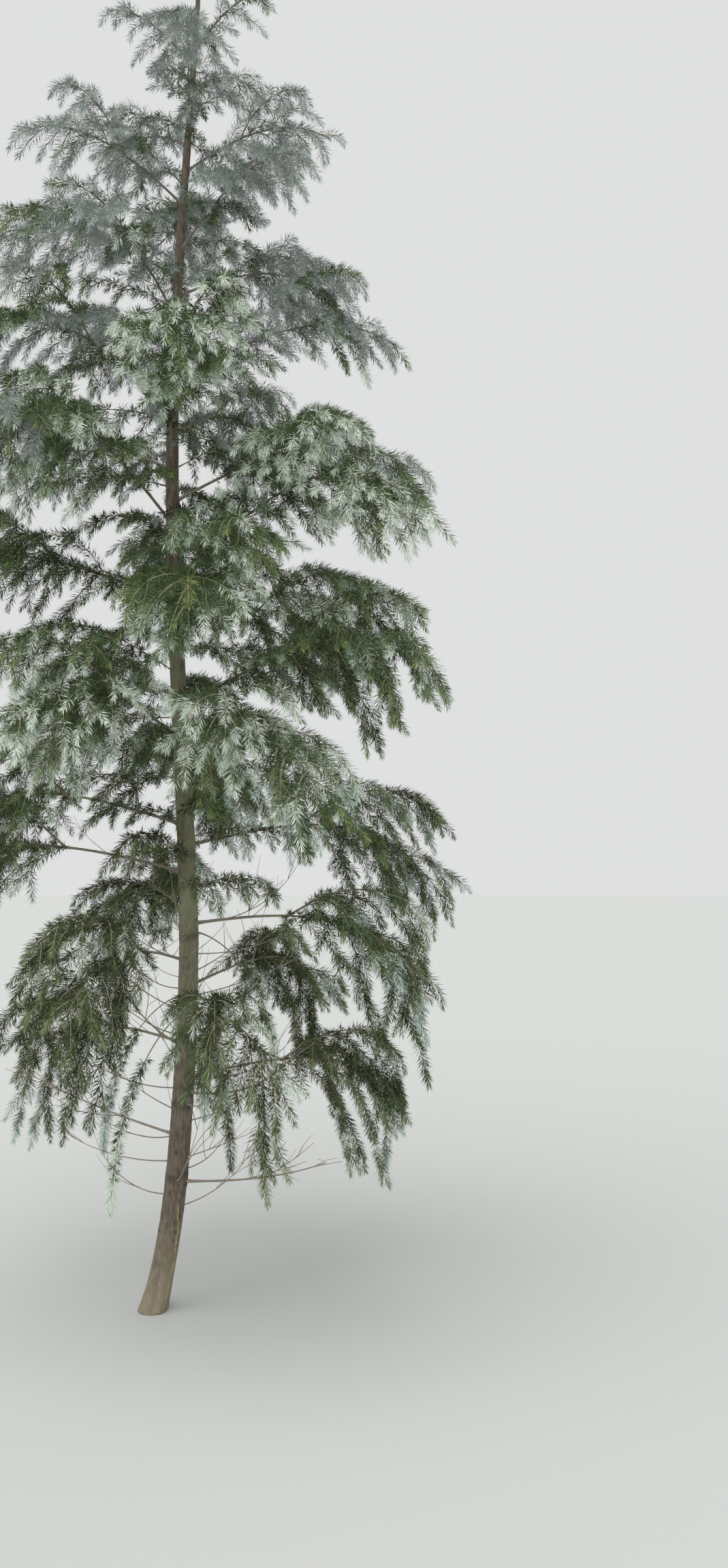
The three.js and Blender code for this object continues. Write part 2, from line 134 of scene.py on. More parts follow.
BOUGH_NEEDLED_FROM = 0.4
LOW_NEEDLED_FROM = 0.27
TOP_NEEDLED_FROM = 0.1
LAST_SHOOT = 0.97
SHOOT_SPACING = 30
FEWEST_SHOOTS = 4
SHOOT_STEPS = 6
SHOOT_SAG = 1.05
SHOOT_DRIFT = -0.35
INNER_SHOOT = 0.48
OUTER_SHOOT = 0.12
SHOOT_LENGTH_POWER = 0.7
SHOOT_LENGTH_PLAY = (0.75, 1.15)
INNER_SPREAD = 68
OUTER_SPREAD = 38
SPREAD_PLAY = 10
HANGING_SPREAD = 24
LOW_BRANCHES = 8
LONG_HANGING = 1.7
SIDE_RISE = (-20, 34)
HANGING_RISE = (-60, -20)
SHOOT_FALL = (-60, -88)
LEAST_BEND = 15
LOWEST_TIP = 230
TRUNK_ROOM = 6

LEADER_LENGTH = 350
LEADER_DRIFT = 30
LEADER_FALL = 58
LEADER_SAG = 1.8
LEADER_SHOOTS = 8
LEADER_SHOOT_LENGTH = 190
LEADER_SHOOT_RISE = 40
LEADER_SHOOT_FALL = -30

DEAD_LIMBS = 4
LOWEST_DEAD = 430
DEAD_SPACING = 150
DEAD_HEADING = -12
DEAD_TURN = 165
DEAD_LENGTH = (510, 700)
DEAD_RADIUS = 5.2
DEAD_TIP_RADIUS = 1.4
DEAD_DRIFT_PLAY = 25
DEAD_RISE = (-6, 10)
DEAD_FALL = (20, 40)
DEAD_SAG = 1.2
DEAD_STEPS = 7
DEAD_FORKS = 4
DEAD_FORK_STEPS = 3
FIRST_DEAD_FORK = 0.3
LAST_DEAD_FORK = 0.86
DEAD_FORK_SPREAD = (28, 52)
DEAD_FORK_DRIFT = -0.4
DEAD_FORK_RISE = (-16, 20)
DEAD_FORK_FALL = (10, 55)
DEAD_FORK_LENGTH = (0.29, 0.46)
DEAD_FORK_RADIUS = 0.55
DEAD_FORK_TIP_RADIUS = 0.8
DEAD_ROOM = 8

# Finer twigs, which only this model has: short ones that hang off the longer side shoots to left and right
FEWEST_STATIONS = 3  # a shoot or twig that is cut shorter than this is left out
OVERHANG = 30  # how far a twig may reach out of the solids' box
SHOOT_ROOM = 22  # half the width that a side shoot keeps to itself
TWIG_ROOM = 12
TWIGGED_LENGTH = 190  # side shoots shorter than this have no twigs
TWIG_SPACING = 58
FIRST_TWIG = 0.2  # of the side shoot's length
LAST_TWIG = 0.88
TWIG_LENGTH = (85, 170)
TWIG_SHARE = (1.1, 0.6)  # of that length, at the side shoot's root and tip
LONGEST_TWIG = 0.6  # of the side shoot's length
TWIG_SPREAD = (32, 62)
TWIG_RISE = (-10, 20)  # more than the side shoot at that point
TWIG_FALL = (-38, -80)
TWIG_STEPS = 4
TWIG_RADIUS = 1.3
SHOOT_RADIUS = 2.1
TWIG_TIP_RADIUS = 0.5
SHOOT_STEP = 20  # from one station of its curve to the next
TWIG_STEP = 38

# Lesser branches, also only here: thin ones straight from the trunk, which fill the crown between the others
LESSER_BRANCHES = 64
LESSER_SEED = 5200
FIRST_LESSER = 1350
LAST_LESSER = 4640
LESSER_HEADING = 190
LESSER_PLAY = 15  # degrees either way, for heading and drift
LESSER_REACH = (0.34, 0.66)
LESSER_RISE = (0, 30)
LESSER_FALL = (-30, -62)
LESSER_RADIUS = 2.4
LESSER_TIP_RADIUS = 1
LESSER_STEP = 25
LESSER_SIDES = 6
LESSER_NEEDLED_FROM = 0.1
LESSER_SHOOT_SPACING = 42
LESSER_SHOOT = 0.42
LEAST_LESSER_SHOOT = 90
LESSER_SHOOT_PLAY = (0.75, 1.2)
LESSER_SHOOT_SPREAD = (35, 68)
LESSER_SHOOT_RISE = (-30, 20)
LESSER_SHOOT_FALL = (-50, -84)

# Single long shoots that hang low round the trunk: height on the trunk, heading and length
LOW_HANGING = ((1000, -119, 760), (1130, -70, 560), (930, 70, 700), (1060, 150, 740), (1280, 20, 620))
LOW_HANGING_RISE = 6
LOW_HANGING_FALL = -88
LOW_HANGING_SAG = 0.5
LOW_HANGING_NEEDLED_FROM = 0.34
LOW_HANGING_DENSITY = 1.3  # of the needles on other twigs

# Bare dead twigs, also only here: thin ones that curve up from the trunk's foot and the boughs' bare parts
BARE_TWIGS = 30
BARE_FROM = 340
BARE_TO = 1330
BARE_HEADING_PLAY = 20
BARE_ROOT = 0.8  # how far out in the trunk a twig starts, as a share of its radius
BARE_LENGTH = (260, 580)
BARE_RADIUS = 2.4
BARE_RISE = (-8, 22)
BARE_END = (25, 70)
BARE_DRIFT = 35
BARE_STEPS = 6
BARE_STEP = 20
BARE_SIDES = 5
BARE_FORKS = 3
BARE_FORK_PLACE = (0.25, 0.85)  # along the twig
BARE_FORK_SPREAD = (25, 60)
BARE_FORK_SHARE = (0.3, 0.55)
BARE_FORK_RADIUS = 0.6
BARE_ROOM = 5
BOUGH_TWIGS = 5  # on each bough's bare part
BOUGH_TWIG_PLACE = (0.1, 0.5)
BOUGH_TWIG_LENGTH = (80, 200)
BOUGH_TWIG_RADIUS = 1.3

# The finest twigs on the dead limbs' forks
DEAD_FORK_SIDES = 6
DEAD_TWIG_TURNS = (-1, 1, -1)  # the side of the fork that each stands on
DEAD_TWIG_PLACE = (0.2, 0.8)
DEAD_TWIG_SPREAD = (30, 60)
DEAD_TWIG_DRIFT = 20
DEAD_TWIG_RISE = (-15, 25)
DEAD_TWIG_FALL = (-30, 30)
DEAD_TWIG_LENGTH = (60, 130)
DEAD_TWIG_RADIUS = 1.1
DEAD_TWIG_ROOM = 4
DEAD_KNOBS = 0.6  # how knobbly dead limbs are beside living ones

# The needles. Real ones are 25 to 35 mm long and 1 mm wide, and about four times as many
NEEDLE_LENGTH = 34
NEEDLE_WIDTH = 2.8
NEEDLE_FOLD = 0.5  # how far a needle's edges stand above its spine
WIDEST_PLACE = 0.4  # along the needle
NEEDLES_PER_MM = 0.72
NEEDLE_PLAY = (0.8, 1.12)  # of its length
NEEDLE_TURN_PLAY = 0.4  # radians round the twig
NEEDLE_ROLL = 1  # radians either way
NEEDLE_SAG = 0.08
INNER_TILT = 58  # degrees between a needle and its twig
TIP_TILT = 24
TILT_PLAY = 7
CLOSING_LENGTH = 80  # how far from the tip the needles begin to close in
CLOSING_POWER = 0.7
TIP_NEEDLE = 0.62  # how long the needles at the very tip are beside the others
TIP_LENGTH = 45
TUFT_SPACING = 15  # along a limb, from one short spur to the next
TUFT_TURN_PLAY = 0.5
TUFT_NEEDLES = 14
TUFT_NEEDLE_PLAY = (0.62, 0.95)
TUFT_TILT = (20, 78)
SPUR_LENGTH = 1.5
SPUR_LEAN = 0.35
TUFTS_TO = 0.85  # of the limb's length
LIMB_NEEDLES_FROM = 0.7
SHOOT_NEEDLES_FROM = 0.04
TWIG_NEEDLES_FROM = 0.03

# How the needles' colours are dealt out: what each spray has from its root to its tip, and where they change
SPRAYS = {
    "bright": ("shade", "mature", "silver", "silver"),
    "fresh": ("mature", "mature", "first_year", "new"),
    "green": ("shade", "mature", "mature", "spring"),
    "shade": ("old", "old", "shade", "mature"),
}
KIND_STARTS = (0.28, 0.56, 0.8)
KIND_BLUR = 0.07

# The chance of each spray, by how far out it is as a share of the crown's reach there: the brighter sprays
# further out are painted light, and the darker ones near the trunk are painted shade besides older needles
LEAST_REACH = 120  # millimetres, for the leading shoot
BRIGHT_FROM = 0.6
BRIGHT_CHANCE = (0.02, 0.15)
LIT_CHANCE = 2  # more, on the branches that catch the light
BRIGHT_BRANCHES = (10, 12, 18, 23)
FRESH_CHANCE = 0.35
GREEN_CHANCE = 0.3
SHADE_CHANCE = (0.05, 0.6)
SHADE_INSIDE = 1.1
SHADE_LOST = 1.6  # with each share of the reach
LOW_SHADE = 0.5  # more, at the crown's foot, as painted shade

# What a kind turns into in the crown's shaded foot, a yellower green partly darkened as painted shade, and in
# its greyer top, lighter and greyer as painted haze
LOW_KINDS = {
    "silver": "blue_tip",
    "new": "olive_tip",
    "first_year": "olive_tip",
    "spring": "olive_tip",
    "mature": "olive",
    "shade": "olive",
}
LOW_FROM = 900  # nearly all sprays are olive below this, and none above the next
LOW_TO = 2000
MOST_OLIVE = 0.9
HIGH_KINDS = {
    "silver": "painted_haze_tip",
    "new": "painted_haze_tip",
    "first_year": "painted_haze",
    "spring": "painted_haze",
    "mature": "painted_haze",
    "shade": "painted_haze_deep",
    "old": "mature",
}
HIGH_FROM = 2500  # no sprays are greyer with painted haze below this, and nearly all above the next
HIGH_FULL = 3900
MOST_PAINTED_HAZE = 0.95

# The bark's relief
TRUNK_SIDES = 72
LOW_RING_SPACING = 5
HIGH_RING_SPACING = 13
LOW_RINGS_TO = 1500
RIDGES = 9  # low ones up the trunk's foot, which waver from side to side
RIDGE_LIFT = 1.3
RIDGE_FADE = 420
RIDGE_WANDER = 1.7
RIDGE_WAVE = 160
BUMPS = (0.9, 34)  # height, and size from one to the next
CRACKS = (0.55, 5.5)
CRACK_STRETCH = 5  # how much longer than wide they are
PATTERN_RADIUS = 40  # of the round path through the pattern, so that it closes round the trunk
FULL_RELIEF = 30  # the trunk's radius from which bumps and cracks are at their full height

LIMB_SIDES = 8
LIMB_SPACING = 14
COLLAR = 0.7  # how much thicker a limb is where it leaves the trunk
COLLAR_LENGTH = 14
KNOBS = ((0.35, 11), (0.22, 4))
LEAST_KNOBS = 0.4

SCARS = 46  # where branches were shed: a raised lip with a sunken, dark middle
LOWEST_SCAR = 120
HIGHEST_SCAR = 2700
SCAR_HEIGHT_PLAY = 25
SCAR_SIZE = (6, 12)
SCAR_WIDTH = 1.35  # beside its height
SCAR_LIFT = 0.3
SCAR_LIP = 0.9  # how fast each fades from the middle
SCAR_PIT = 5
SCAR_DARK = 3.5
SCAR_DEPTH = 0.9  # of the pit, beside the lip's height
WHORLS = (452, 688, 925, 1262, 1540)  # heights of the dark, raised rings where whorls of twigs stood
WHORL_HEIGHT = 15
WHORL_LIFT = 1.7
WHORL_WAVE = 5
WHORL_EVEN = 0.7  # the share of the lift that is the same all round
LIMB_COLLAR = 2.4  # the width of a branch's collar on the trunk, beside the branch's radius
LIMB_COLLAR_HEIGHT = 1.3
LIMB_COLLAR_LIFT = 0.5
LIMB_RING = 1.2  # how far out its dark ring lies
LIMB_RING_FADE = 3
DARKEST = {"scar": 0.85, "whorl": 0.5, "limb": 0.35}

LICHEN_ANGLE = -2.3  # radians round the trunk from its +Y side
LICHEN_WIDTH = 0.16
LICHEN_WANDER = 0.25
LICHEN_WAVE = 90
LICHEN_FROM = 60
LICHEN_TO = 430
LICHEN_FADE = 150

# The bark's pattern
STREAK_STRETCH = (1, 1, 0.22)  # streaks run up the stem, and bands round it
BAND_STRETCH = (0.5, 0.5, 2.4)
BAND_SPACING = 3.5  # in grains: a bark's grain is the space between its streaks
CRACK_SPACING = 1 / 3.2
PATCHES_PER_METRE = 9
CRUSTS_PER_METRE = 140
SPECK_SPACING = 19
CRACK_DEPTH = 0.9
FILM_FROM = 300  # where the green film on the trunk begins, is full, fades and ends
FILM_TO = 1300
FILM_FADE = 1800
FILM_END = 3000
FOOT_FROM = 90  # the paler, worn bark of the foot is full up to here
FOOT_TO = 420
FOOT_BARK = "#a2987f"
LICHEN_CRUST = "#b5ab74"
SPECK_COLOUR = "#c9c4b2"
SCAR_COLOUR = "#3a3029"

MOST_TRIANGLES = 190_000  # in one mesh of many small things

# The photograph's camera: a phone held upright at standing eye height and tilted up a little
CAMERA_PLACE = (717, -4150, 1500)
CAMERA_PITCH = 4
FOCAL_PIXELS = 1747
FRAME_HEIGHT = 2304  # pixels
SENSOR_SIZE = 36

# The studio: a pale sky, and one wide soft light from above and in front
SKY_COLOUR = "#f0f1f1"
SKY_STRENGTH = 0.85
LIGHT_FROM = (-0.35, -0.6, 1)
LIGHT_WIDTH = 70  # degrees
LIGHT_STRENGTH = 1.9
FLOOR_COLOUR = "#c6c8c5"
FLOOR_RADIUS = 60  # metres
FLOOR_SIDES = 96


def lerp(a, b, share):
    return a + (b - a) * share


def clamp(value, low, high):
    return max(low, min(high, value))


def stream(seed):
    """One fixed stream of numbers from 0 to 1 for each seed."""
    word = 0xFFFFFFFF
    state = seed & word

    def draw():
        nonlocal state
        state = (state + 0x6D2B79F5) & word
        t = ((state ^ (state >> 15)) * (state | 1)) & word
        t ^= (t + (((t ^ (t >> 7)) * (t | 61)) & word)) & word
        return ((t ^ (t >> 14)) & word) / 4294967296

    return draw


def pick(span, draw):
    return lerp(span[0], span[1], draw())


def play(size, draw):
    """A value from -size to size."""
    return (draw() - 0.5) * 2 * size


def unit(rows):
    return rows / np.linalg.norm(rows, axis=-1, keepdims=True)


def direction(heading, elevation):
    turn, lift = np.radians(heading), np.radians(elevation)
    return np.stack([np.cos(turn) * np.cos(lift), np.sin(turn) * np.cos(lift), np.sin(lift)], axis=-1)


def trunk_centre(z):
    z = np.asarray(z, float)
    share = np.clip((z - BOW_FOOT) / (BOW_HEAD - BOW_FOOT), 0, 1)
    bow = BOW * np.sin(np.pi * share) ** BOW_POWER
    return np.stack([SWEEP * (1 - np.exp(-z / SWEEP_HEIGHT)) - bow, BOW_BACK * bow, z], axis=-1)


def trunk_radius(z):
    return TRUNK_RADIUS * np.maximum(0, 1 - z / TAPER_END) ** TAPER_POWER + FLARE * np.exp(-z / FLARE_HEIGHT)


def crown_reach(z):
    """How far the crown reaches from the trunk at one height."""
    share = clamp((z - CROWN_FOOT) / (CROWN_TOP - CROWN_FOOT), 0, 1)
    foot = lerp(FOOT_SHARE, 1, min(1, share / WIDEST_SHARE))
    return CROWN_REACH * foot * (1 - share**2) ** REACH_POWER


def course(start, heading, drift, rise, fall, length, steps, sag):
    """The centre line of a limb that leaves its start at an elevation of rise and bends towards fall: the
    point, the heading and the elevation at each of its stations."""
    shares = np.arange(steps + 1) / steps
    middles = shares[:-1] + 0.5 / steps
    moves = direction(heading + drift * middles, lerp(rise, fall, middles**sag)) * length / steps
    return {
        "point": start + np.vstack([np.zeros(3), np.cumsum(moves, axis=0)]),
        "heading": heading + drift * shares,
        "elevation": lerp(rise, fall, shares**sag),
    }


def at(line, share):
    """A line's values at a share of its length, or one row of values for each of several shares."""
    steps = len(line["point"]) - 1
    place = np.clip(share, 0, 1) * steps
    i = np.minimum(place.astype(int), steps - 1)
    part = place - i
    return {
        name: lerp(rows[i], rows[i + 1], part[..., None] if rows.ndim > 1 else part)
        for name, rows in line.items()
    }


def limb_of(number, line, length, radius, needled_from=0, **more):
    """A limb, with its radius at the root and the share of its length where its needles begin."""
    limb = {"number": number, "line": line, "length": length, "radius": radius, "needled_from": needled_from}
    return {**limb, **more}


def live_branch(number):
    draw = stream(SEED + number)
    share = number / (BRANCHES - 1)
    height = lerp(FIRST_BRANCH, LAST_BRANCH, share) + play(HEIGHT_PLAY, draw)
    heading = FIRST_HEADING + GOLDEN_ANGLE * number + play(HEADING_PLAY, draw)
    length = crown_reach(height) * pick(REACH_PLAY, draw)
    line = course(
        start=trunk_centre(height),
        heading=OWN_HEADINGS.get(number, heading),
        drift=play(DRIFT_PLAY, draw),
        rise=lerp(LOW_RISE, TOP_RISE, share) + play(RISE_PLAY, draw),
        fall=lerp(LOW_FALL, TOP_FALL, share) + play(FALL_PLAY, draw),
        length=length,
        steps=BRANCH_STEPS,
        sag=BRANCH_SAG,
    )
    free_from = lerp(LOW_NEEDLED_FROM, TOP_NEEDLED_FROM, share)
    needled_from = BOUGH_NEEDLED_FROM if number < BOUGHS else free_from
    return limb_of(number, line, length, SLIM_RADIUS + RADIUS_PER_LENGTH * length, needled_from, draw=draw)


def fork_of(branch):
    """The shorter limb that leaves a branch early, to one side, and arches over it."""
    draw = branch["draw"]
    root = at(branch["line"], FORK_FROM)
    length = FORK_LENGTH * branch["length"]
    line = course(
        start=root["point"],
        heading=root["heading"] + (FORK_SPREAD if branch["number"] % 2 else -FORK_SPREAD),
        drift=play(DRIFT_PLAY, draw),
        rise=root["elevation"] + pick(FORK_RISE, draw),
        fall=root["elevation"] + FORK_FALL,
        length=length,
        steps=FORK_STEPS,
        sag=FORK_SAG,
    )
    radius = FORK_RADIUS * branch["radius"]
    return limb_of(branch["number"], line, length, radius, FORK_NEEDLED_FROM, draw=draw)


def leading_shoot():
    line = course(
        start=trunk_centre(TRUNK_TOP),
        heading=FIRST_HEADING,
        drift=LEADER_DRIFT,
        rise=90,
        fall=LEADER_FALL,
        length=LEADER_LENGTH,
        steps=BRANCH_STEPS,
        sag=LEADER_SAG,
    )
    return limb_of(BRANCHES, line, LEADER_LENGTH, trunk_radius(TRUNK_TOP), draw=stream(SEED + BRANCHES))


def dead_limb(number):
    draw = stream(DEAD_SEED + number)
    length = pick(DEAD_LENGTH, draw)
    line = course(
        start=trunk_centre(LOWEST_DEAD + DEAD_SPACING * number),
        heading=DEAD_HEADING + DEAD_TURN * number,
        drift=play(DEAD_DRIFT_PLAY, draw),
        rise=pick(DEAD_RISE, draw),
        fall=pick(DEAD_FALL, draw),
        length=length,
        steps=DEAD_STEPS,
        sag=DEAD_SAG,
    )
    return limb_of(BRANCHES + 1 + number, line, length, DEAD_RADIUS, draw=draw)


branches = [live_branch(number) for number in range(BRANCHES)]
forks = [fork_of(branch) for branch in branches[:FORKED_BRANCHES]]
leader = leading_shoot()
dead_limbs = [dead_limb(number) for number in range(DEAD_LIMBS)]
limbs = [*branches, *forks, leader, *dead_limbs]
axis_starts = np.vstack([limb["line"]["point"][:-1] for limb in limbs])
axis_runs = np.vstack([np.diff(limb["line"]["point"], axis=0) for limb in limbs])
axis_owners = np.concatenate([[limb["number"]] * (len(limb["line"]["point"]) - 1) for limb in limbs])
crown_low, crown_high = np.array(cad_box[0]) / MM - OVERHANG, np.array(cad_box[1]) / MM + OVERHANG


def in_crown(points, half_width):
    """For each point, True where something of this half width is off the trunk and in the crown's box."""
    heights = points[:, 2]
    from_trunk = np.linalg.norm((points - trunk_centre(heights))[:, :2], axis=1) - trunk_radius(heights)
    clear = (heights >= TRUNK_TOP) | (from_trunk >= half_width + TRUNK_ROOM)
    clear &= heights >= half_width + LOWEST_TIP
    return clear & ((points > crown_low) & (points < crown_high)).all(axis=1)


def in_own_space(points, number, half_width):
    """For each point, True where something of this half width keeps nearer to its own limb than others."""
    offsets = points[:, None] - axis_starts
    shares = np.clip((offsets * axis_runs).sum(axis=2) / (axis_runs**2).sum(axis=1), 0, 1)
    distances = np.linalg.norm(offsets - shares[..., None] * axis_runs, axis=2)
    home = distances[:, axis_owners == number].min(axis=1)
    away = distances[:, axis_owners != number].min(axis=1)
    return away - home > 2 * half_width


def kept_part(path, number, half_width):
    """A list with the part of the path up to where it would leave its limb's own space or the crown, or an
    empty list if that part is too short. A lesser branch has no space of its own, and its number is None."""
    inside = in_crown(path["point"], half_width)
    if number is not None:
        inside &= in_own_space(path["point"], number, half_width)
    inside[0] = True
    count = len(inside) if inside.all() else int(np.argmin(inside))
    return [{name: rows[:count] for name, rows in path.items()}] if count >= FEWEST_STATIONS else []


def side_twig(root, spread, rise, fall, length, steps, number, room):
    """A shoot or twig that leaves its root to one side and bends down, as far as it has room, in a list."""
    path = course(
        start=root["point"],
        heading=root["heading"] + spread,
        drift=SHOOT_DRIFT * spread,
        rise=rise,
        fall=fall,
        length=length,
        steps=steps,
        sag=SHOOT_SAG,
    )
    return kept_part(path, number, room)


def side_shoots(limb):
    """A limb's side shoots, from its root outwards: one to the left, one to the right and one hanging under
    it, over and over."""
    draw, line, length = limb["draw"], limb["line"], limb["length"]
    needled_from = limb["needled_from"]
    count = max(FEWEST_SHOOTS, math.floor(length * (LAST_SHOOT - needled_from) / SHOOT_SPACING + 0.5))
    shoots = []
    for j in range(count):
        side = (-1, 1, 0)[j % 3]
        share = lerp(needled_from, LAST_SHOOT, (j + draw()) / count)
        if side:
            spread = side * (lerp(INNER_SPREAD, OUTER_SPREAD, share) + play(SPREAD_PLAY, draw))
        else:
            spread = play(HANGING_SPREAD, draw)
        most = length * (INNER_SHOOT * (1 - share) ** SHOOT_LENGTH_POWER + OUTER_SHOOT)
        hang = 1 if side or limb["number"] >= LOW_BRANCHES else LONG_HANGING
        full = most * hang * pick(SHOOT_LENGTH_PLAY, draw)
        root = at(line, share)
        rise = root["elevation"] + pick(SIDE_RISE if side else HANGING_RISE, draw)
        fall = min(pick(SHOOT_FALL, draw), rise - LEAST_BEND)
        shoots += side_twig(root, spread, rise, fall, full, SHOOT_STEPS, limb["number"], SHOOT_ROOM)
    return shoots


def leader_shoots():
    """The short shoots that stand all round the leading one."""
    shoots = []
    for j in range(LEADER_SHOOTS):
        share = (j + 0.5) / LEADER_SHOOTS
        most = LEADER_SHOOT_LENGTH * (1 - share) ** SHOOT_LENGTH_POWER
        path = course(
            start=at(leader["line"], share)["point"],
            heading=GOLDEN_ANGLE * j,
            drift=0,
            rise=LEADER_SHOOT_RISE,
            fall=LEADER_SHOOT_FALL,
            length=most * pick(SHOOT_LENGTH_PLAY, leader["draw"]),
            steps=SHOOT_STEPS,
            sag=SHOOT_SAG,
        )
        shoots += kept_part(path, leader["number"], TWIG_ROOM)
    return shoots


def lesser_branch(k):
    """A thin branch straight from the trunk, and its side shoots."""
    rng = np.random.default_rng(LESSER_SEED + k)
    height = lerp(FIRST_LESSER, LAST_LESSER, (k + rng.random()) / LESSER_BRANCHES)
    length = crown_reach(height) * pick(LESSER_REACH, rng.random)
    line = course(
        start=trunk_centre(height),
        heading=LESSER_HEADING + GOLDEN_ANGLE * k + rng.uniform(-LESSER_PLAY, LESSER_PLAY),
        drift=rng.uniform(-LESSER_PLAY, LESSER_PLAY),
        rise=pick(LESSER_RISE, rng.random),
        fall=pick(LESSER_FALL, rng.random),
        length=length,
        steps=BRANCH_STEPS,
        sag=BRANCH_SAG,
    )
    count = math.ceil(length * (1 - LESSER_NEEDLED_FROM) / LESSER_SHOOT_SPACING)
    shoots = []
    for j in range(count):
        side = (-1, 1, 0)[j % 3]
        share = lerp(LESSER_NEEDLED_FROM, LAST_SHOOT, (j + rng.random()) / count)
        root = at(line, share)
        spread = side * rng.uniform(*LESSER_SHOOT_SPREAD)
        rise = root["elevation"] + rng.uniform(*LESSER_SHOOT_RISE)
        fall = pick(LESSER_SHOOT_FALL, rng.random)
        full = max(LEAST_LESSER_SHOOT, length * LESSER_SHOOT * (1 - share)) * rng.uniform(*LESSER_SHOOT_PLAY)
        shoots += side_twig(root, spread, rise, fall, full, SHOOT_STEPS, None, SHOOT_ROOM)
    return limb_of(None, line, length, LESSER_RADIUS, LESSER_NEEDLED_FROM, shoots=shoots, height=height)


def low_hanging_shoot(height, heading, length):
    """A long single shoot from the trunk that soon hangs straight down."""
    line = course(
        start=trunk_centre(height),
        heading=heading,
        drift=0,
        rise=LOW_HANGING_RISE,
        fall=LOW_HANGING_FALL,
        length=length,
        steps=2 * BRANCH_STEPS,
        sag=LOW_HANGING_SAG,
    )
    own = {"shoots": [], "height": height, "hanging": True}
    return limb_of(None, line, length, LESSER_RADIUS, LOW_HANGING_NEEDLED_FROM, **own)


def hanging_twigs(shoot, number, rng):
    """The finer twigs that hang off a side shoot, by turns to its left and right."""
    length = line_length(shoot)
    if length < TWIGGED_LENGTH:
        return []
    count = int(length * (LAST_TWIG - FIRST_TWIG) / TWIG_SPACING)
    twigs = []
    for j in range(count):
        share = lerp(FIRST_TWIG, LAST_TWIG, (j + rng.random()) / count)
        root = at(shoot, share)
        spread = (1 if j % 2 else -1) * pick(TWIG_SPREAD, rng.random)
        rise = root["elevation"] + pick(TWIG_RISE, rng.random)
        fall = min(pick(TWIG_FALL, rng.random), rise)
        full = min(pick(TWIG_LENGTH, rng.random) * lerp(*TWIG_SHARE, share), LONGEST_TWIG * length)
        twigs += side_twig(root, spread, rise, fall, full, TWIG_STEPS, number, TWIG_ROOM)
    return twigs


def line_length(line):
    return float(np.linalg.norm(np.diff(line["point"], axis=0), axis=1).sum())


def smooth(line, spacing):
    """The same line with more stations, on one smooth curve through its own."""
    rows = line["point"]
    spans = len(rows) - 1
    steps = max(1, round(line_length(line) / spacing / spans)) * spans
    place = np.linspace(0, spans, steps + 1)
    i = np.minimum(place.astype(int), spans - 1)
    part = (place - i)[:, None]
    ends = np.vstack([2 * rows[0] - rows[1], rows, 2 * rows[-1] - rows[-2]])
    a, b, c, d = (ends[i + k] for k in range(4))
    squared = (2 * a - 5 * b + 4 * c - d) * part**2
    cubed = (3 * b - a - 3 * c + d) * part**3
    curve = 0.5 * (2 * b + (c - a) * part + squared + cubed)
    heading = np.interp(place, np.arange(len(rows)), line["heading"])
    tangent = unit(np.gradient(curve, axis=0))
    level = direction(heading + 90, np.zeros(len(heading)))
    up = unit(np.cross(tangent, level))
    return {"point": curve, "tangent": tangent, "across": np.cross(up, tangent), "up": up}


def taper(curve, root_radius, tip_radius, power=TAPER):
    return lerp(root_radius, tip_radius, np.linspace(0, 1, len(curve["point"])) ** power)


def twig_solid(curve, radii):
    """A three-sided twig with a closed root and a sharp tip: its corners and its triangles."""
    angles = np.radians([0, 120, 240])
    across, up = curve["across"][:-1, None], curve["up"][:-1, None]
    spokes = np.cos(angles)[:, None] * across + np.sin(angles)[:, None] * up
    rings = curve["point"][:-1, None] + radii[:-1, None, None] * spokes
    corners = np.vstack([rings.reshape(-1, 3), curve["point"][-1]])
    first = np.arange(len(rings) - 1)[:, None] * 3
    k, after = np.arange(3), np.array([1, 2, 0])
    lower = np.stack([first + k, first + after, first + 3 + k], axis=-1)
    upper = np.stack([first + after, first + 3 + after, first + 3 + k], axis=-1)
    last = 3 * (len(rings) - 1)
    tip = np.stack([last + k, last + after, np.full(3, len(corners) - 1)], axis=-1)
    return corners, np.vstack([lower.reshape(-1, 3), upper.reshape(-1, 3), tip, [[0, 2, 1]]])


def spread_out(curve, radii, span, count, turn_play, rng):
    """So many places between two shares of a curve, each turned on from the last: their shares, the curve's
    values there and the ways out from it."""
    share = lerp(span[0], span[1], (np.arange(count) + rng.random(count)) / count)
    turn = np.radians(GOLDEN_ANGLE) * np.arange(count) + rng.normal(0, turn_play, count)
    here = at({**curve, "radius": radii}, share)
    return share, here, np.cos(turn)[:, None] * here["across"] + np.sin(turn)[:, None] * here["up"]


def needle_rows(curve, radii, span, kinds, rng, density=NEEDLES_PER_MM):
    """Needles all round a twig between two shares of it: for each its root, the twig's way there, the way
    out, its tilt, its length and its kind. They lie closer and get shorter towards the twig's tip."""
    length = line_length(curve)
    count = max(1, int(length * (span[1] - span[0]) * density))
    share, here, out = spread_out(curve, radii, span, count, NEEDLE_TURN_PLAY, rng)
    from_tip = (1 - share) * length
    tilt = lerp(TIP_TILT, INNER_TILT, np.clip(from_tip / CLOSING_LENGTH, 0, 1) ** CLOSING_POWER)
    tilt = tilt + rng.normal(0, TILT_PLAY, count)
    long = NEEDLE_LENGTH * lerp(TIP_NEEDLE, 1, np.clip(from_tip / TIP_LENGTH, 0, 1))
    long = long * rng.uniform(*NEEDLE_PLAY, count)
    kind = np.digitize(share + rng.normal(0, KIND_BLUR, count), KIND_STARTS)
    root = here["point"] + here["radius"][:, None] * out
    return np.column_stack([root, here["tangent"], out, np.abs(tilt), long, np.take(kinds, kind)])


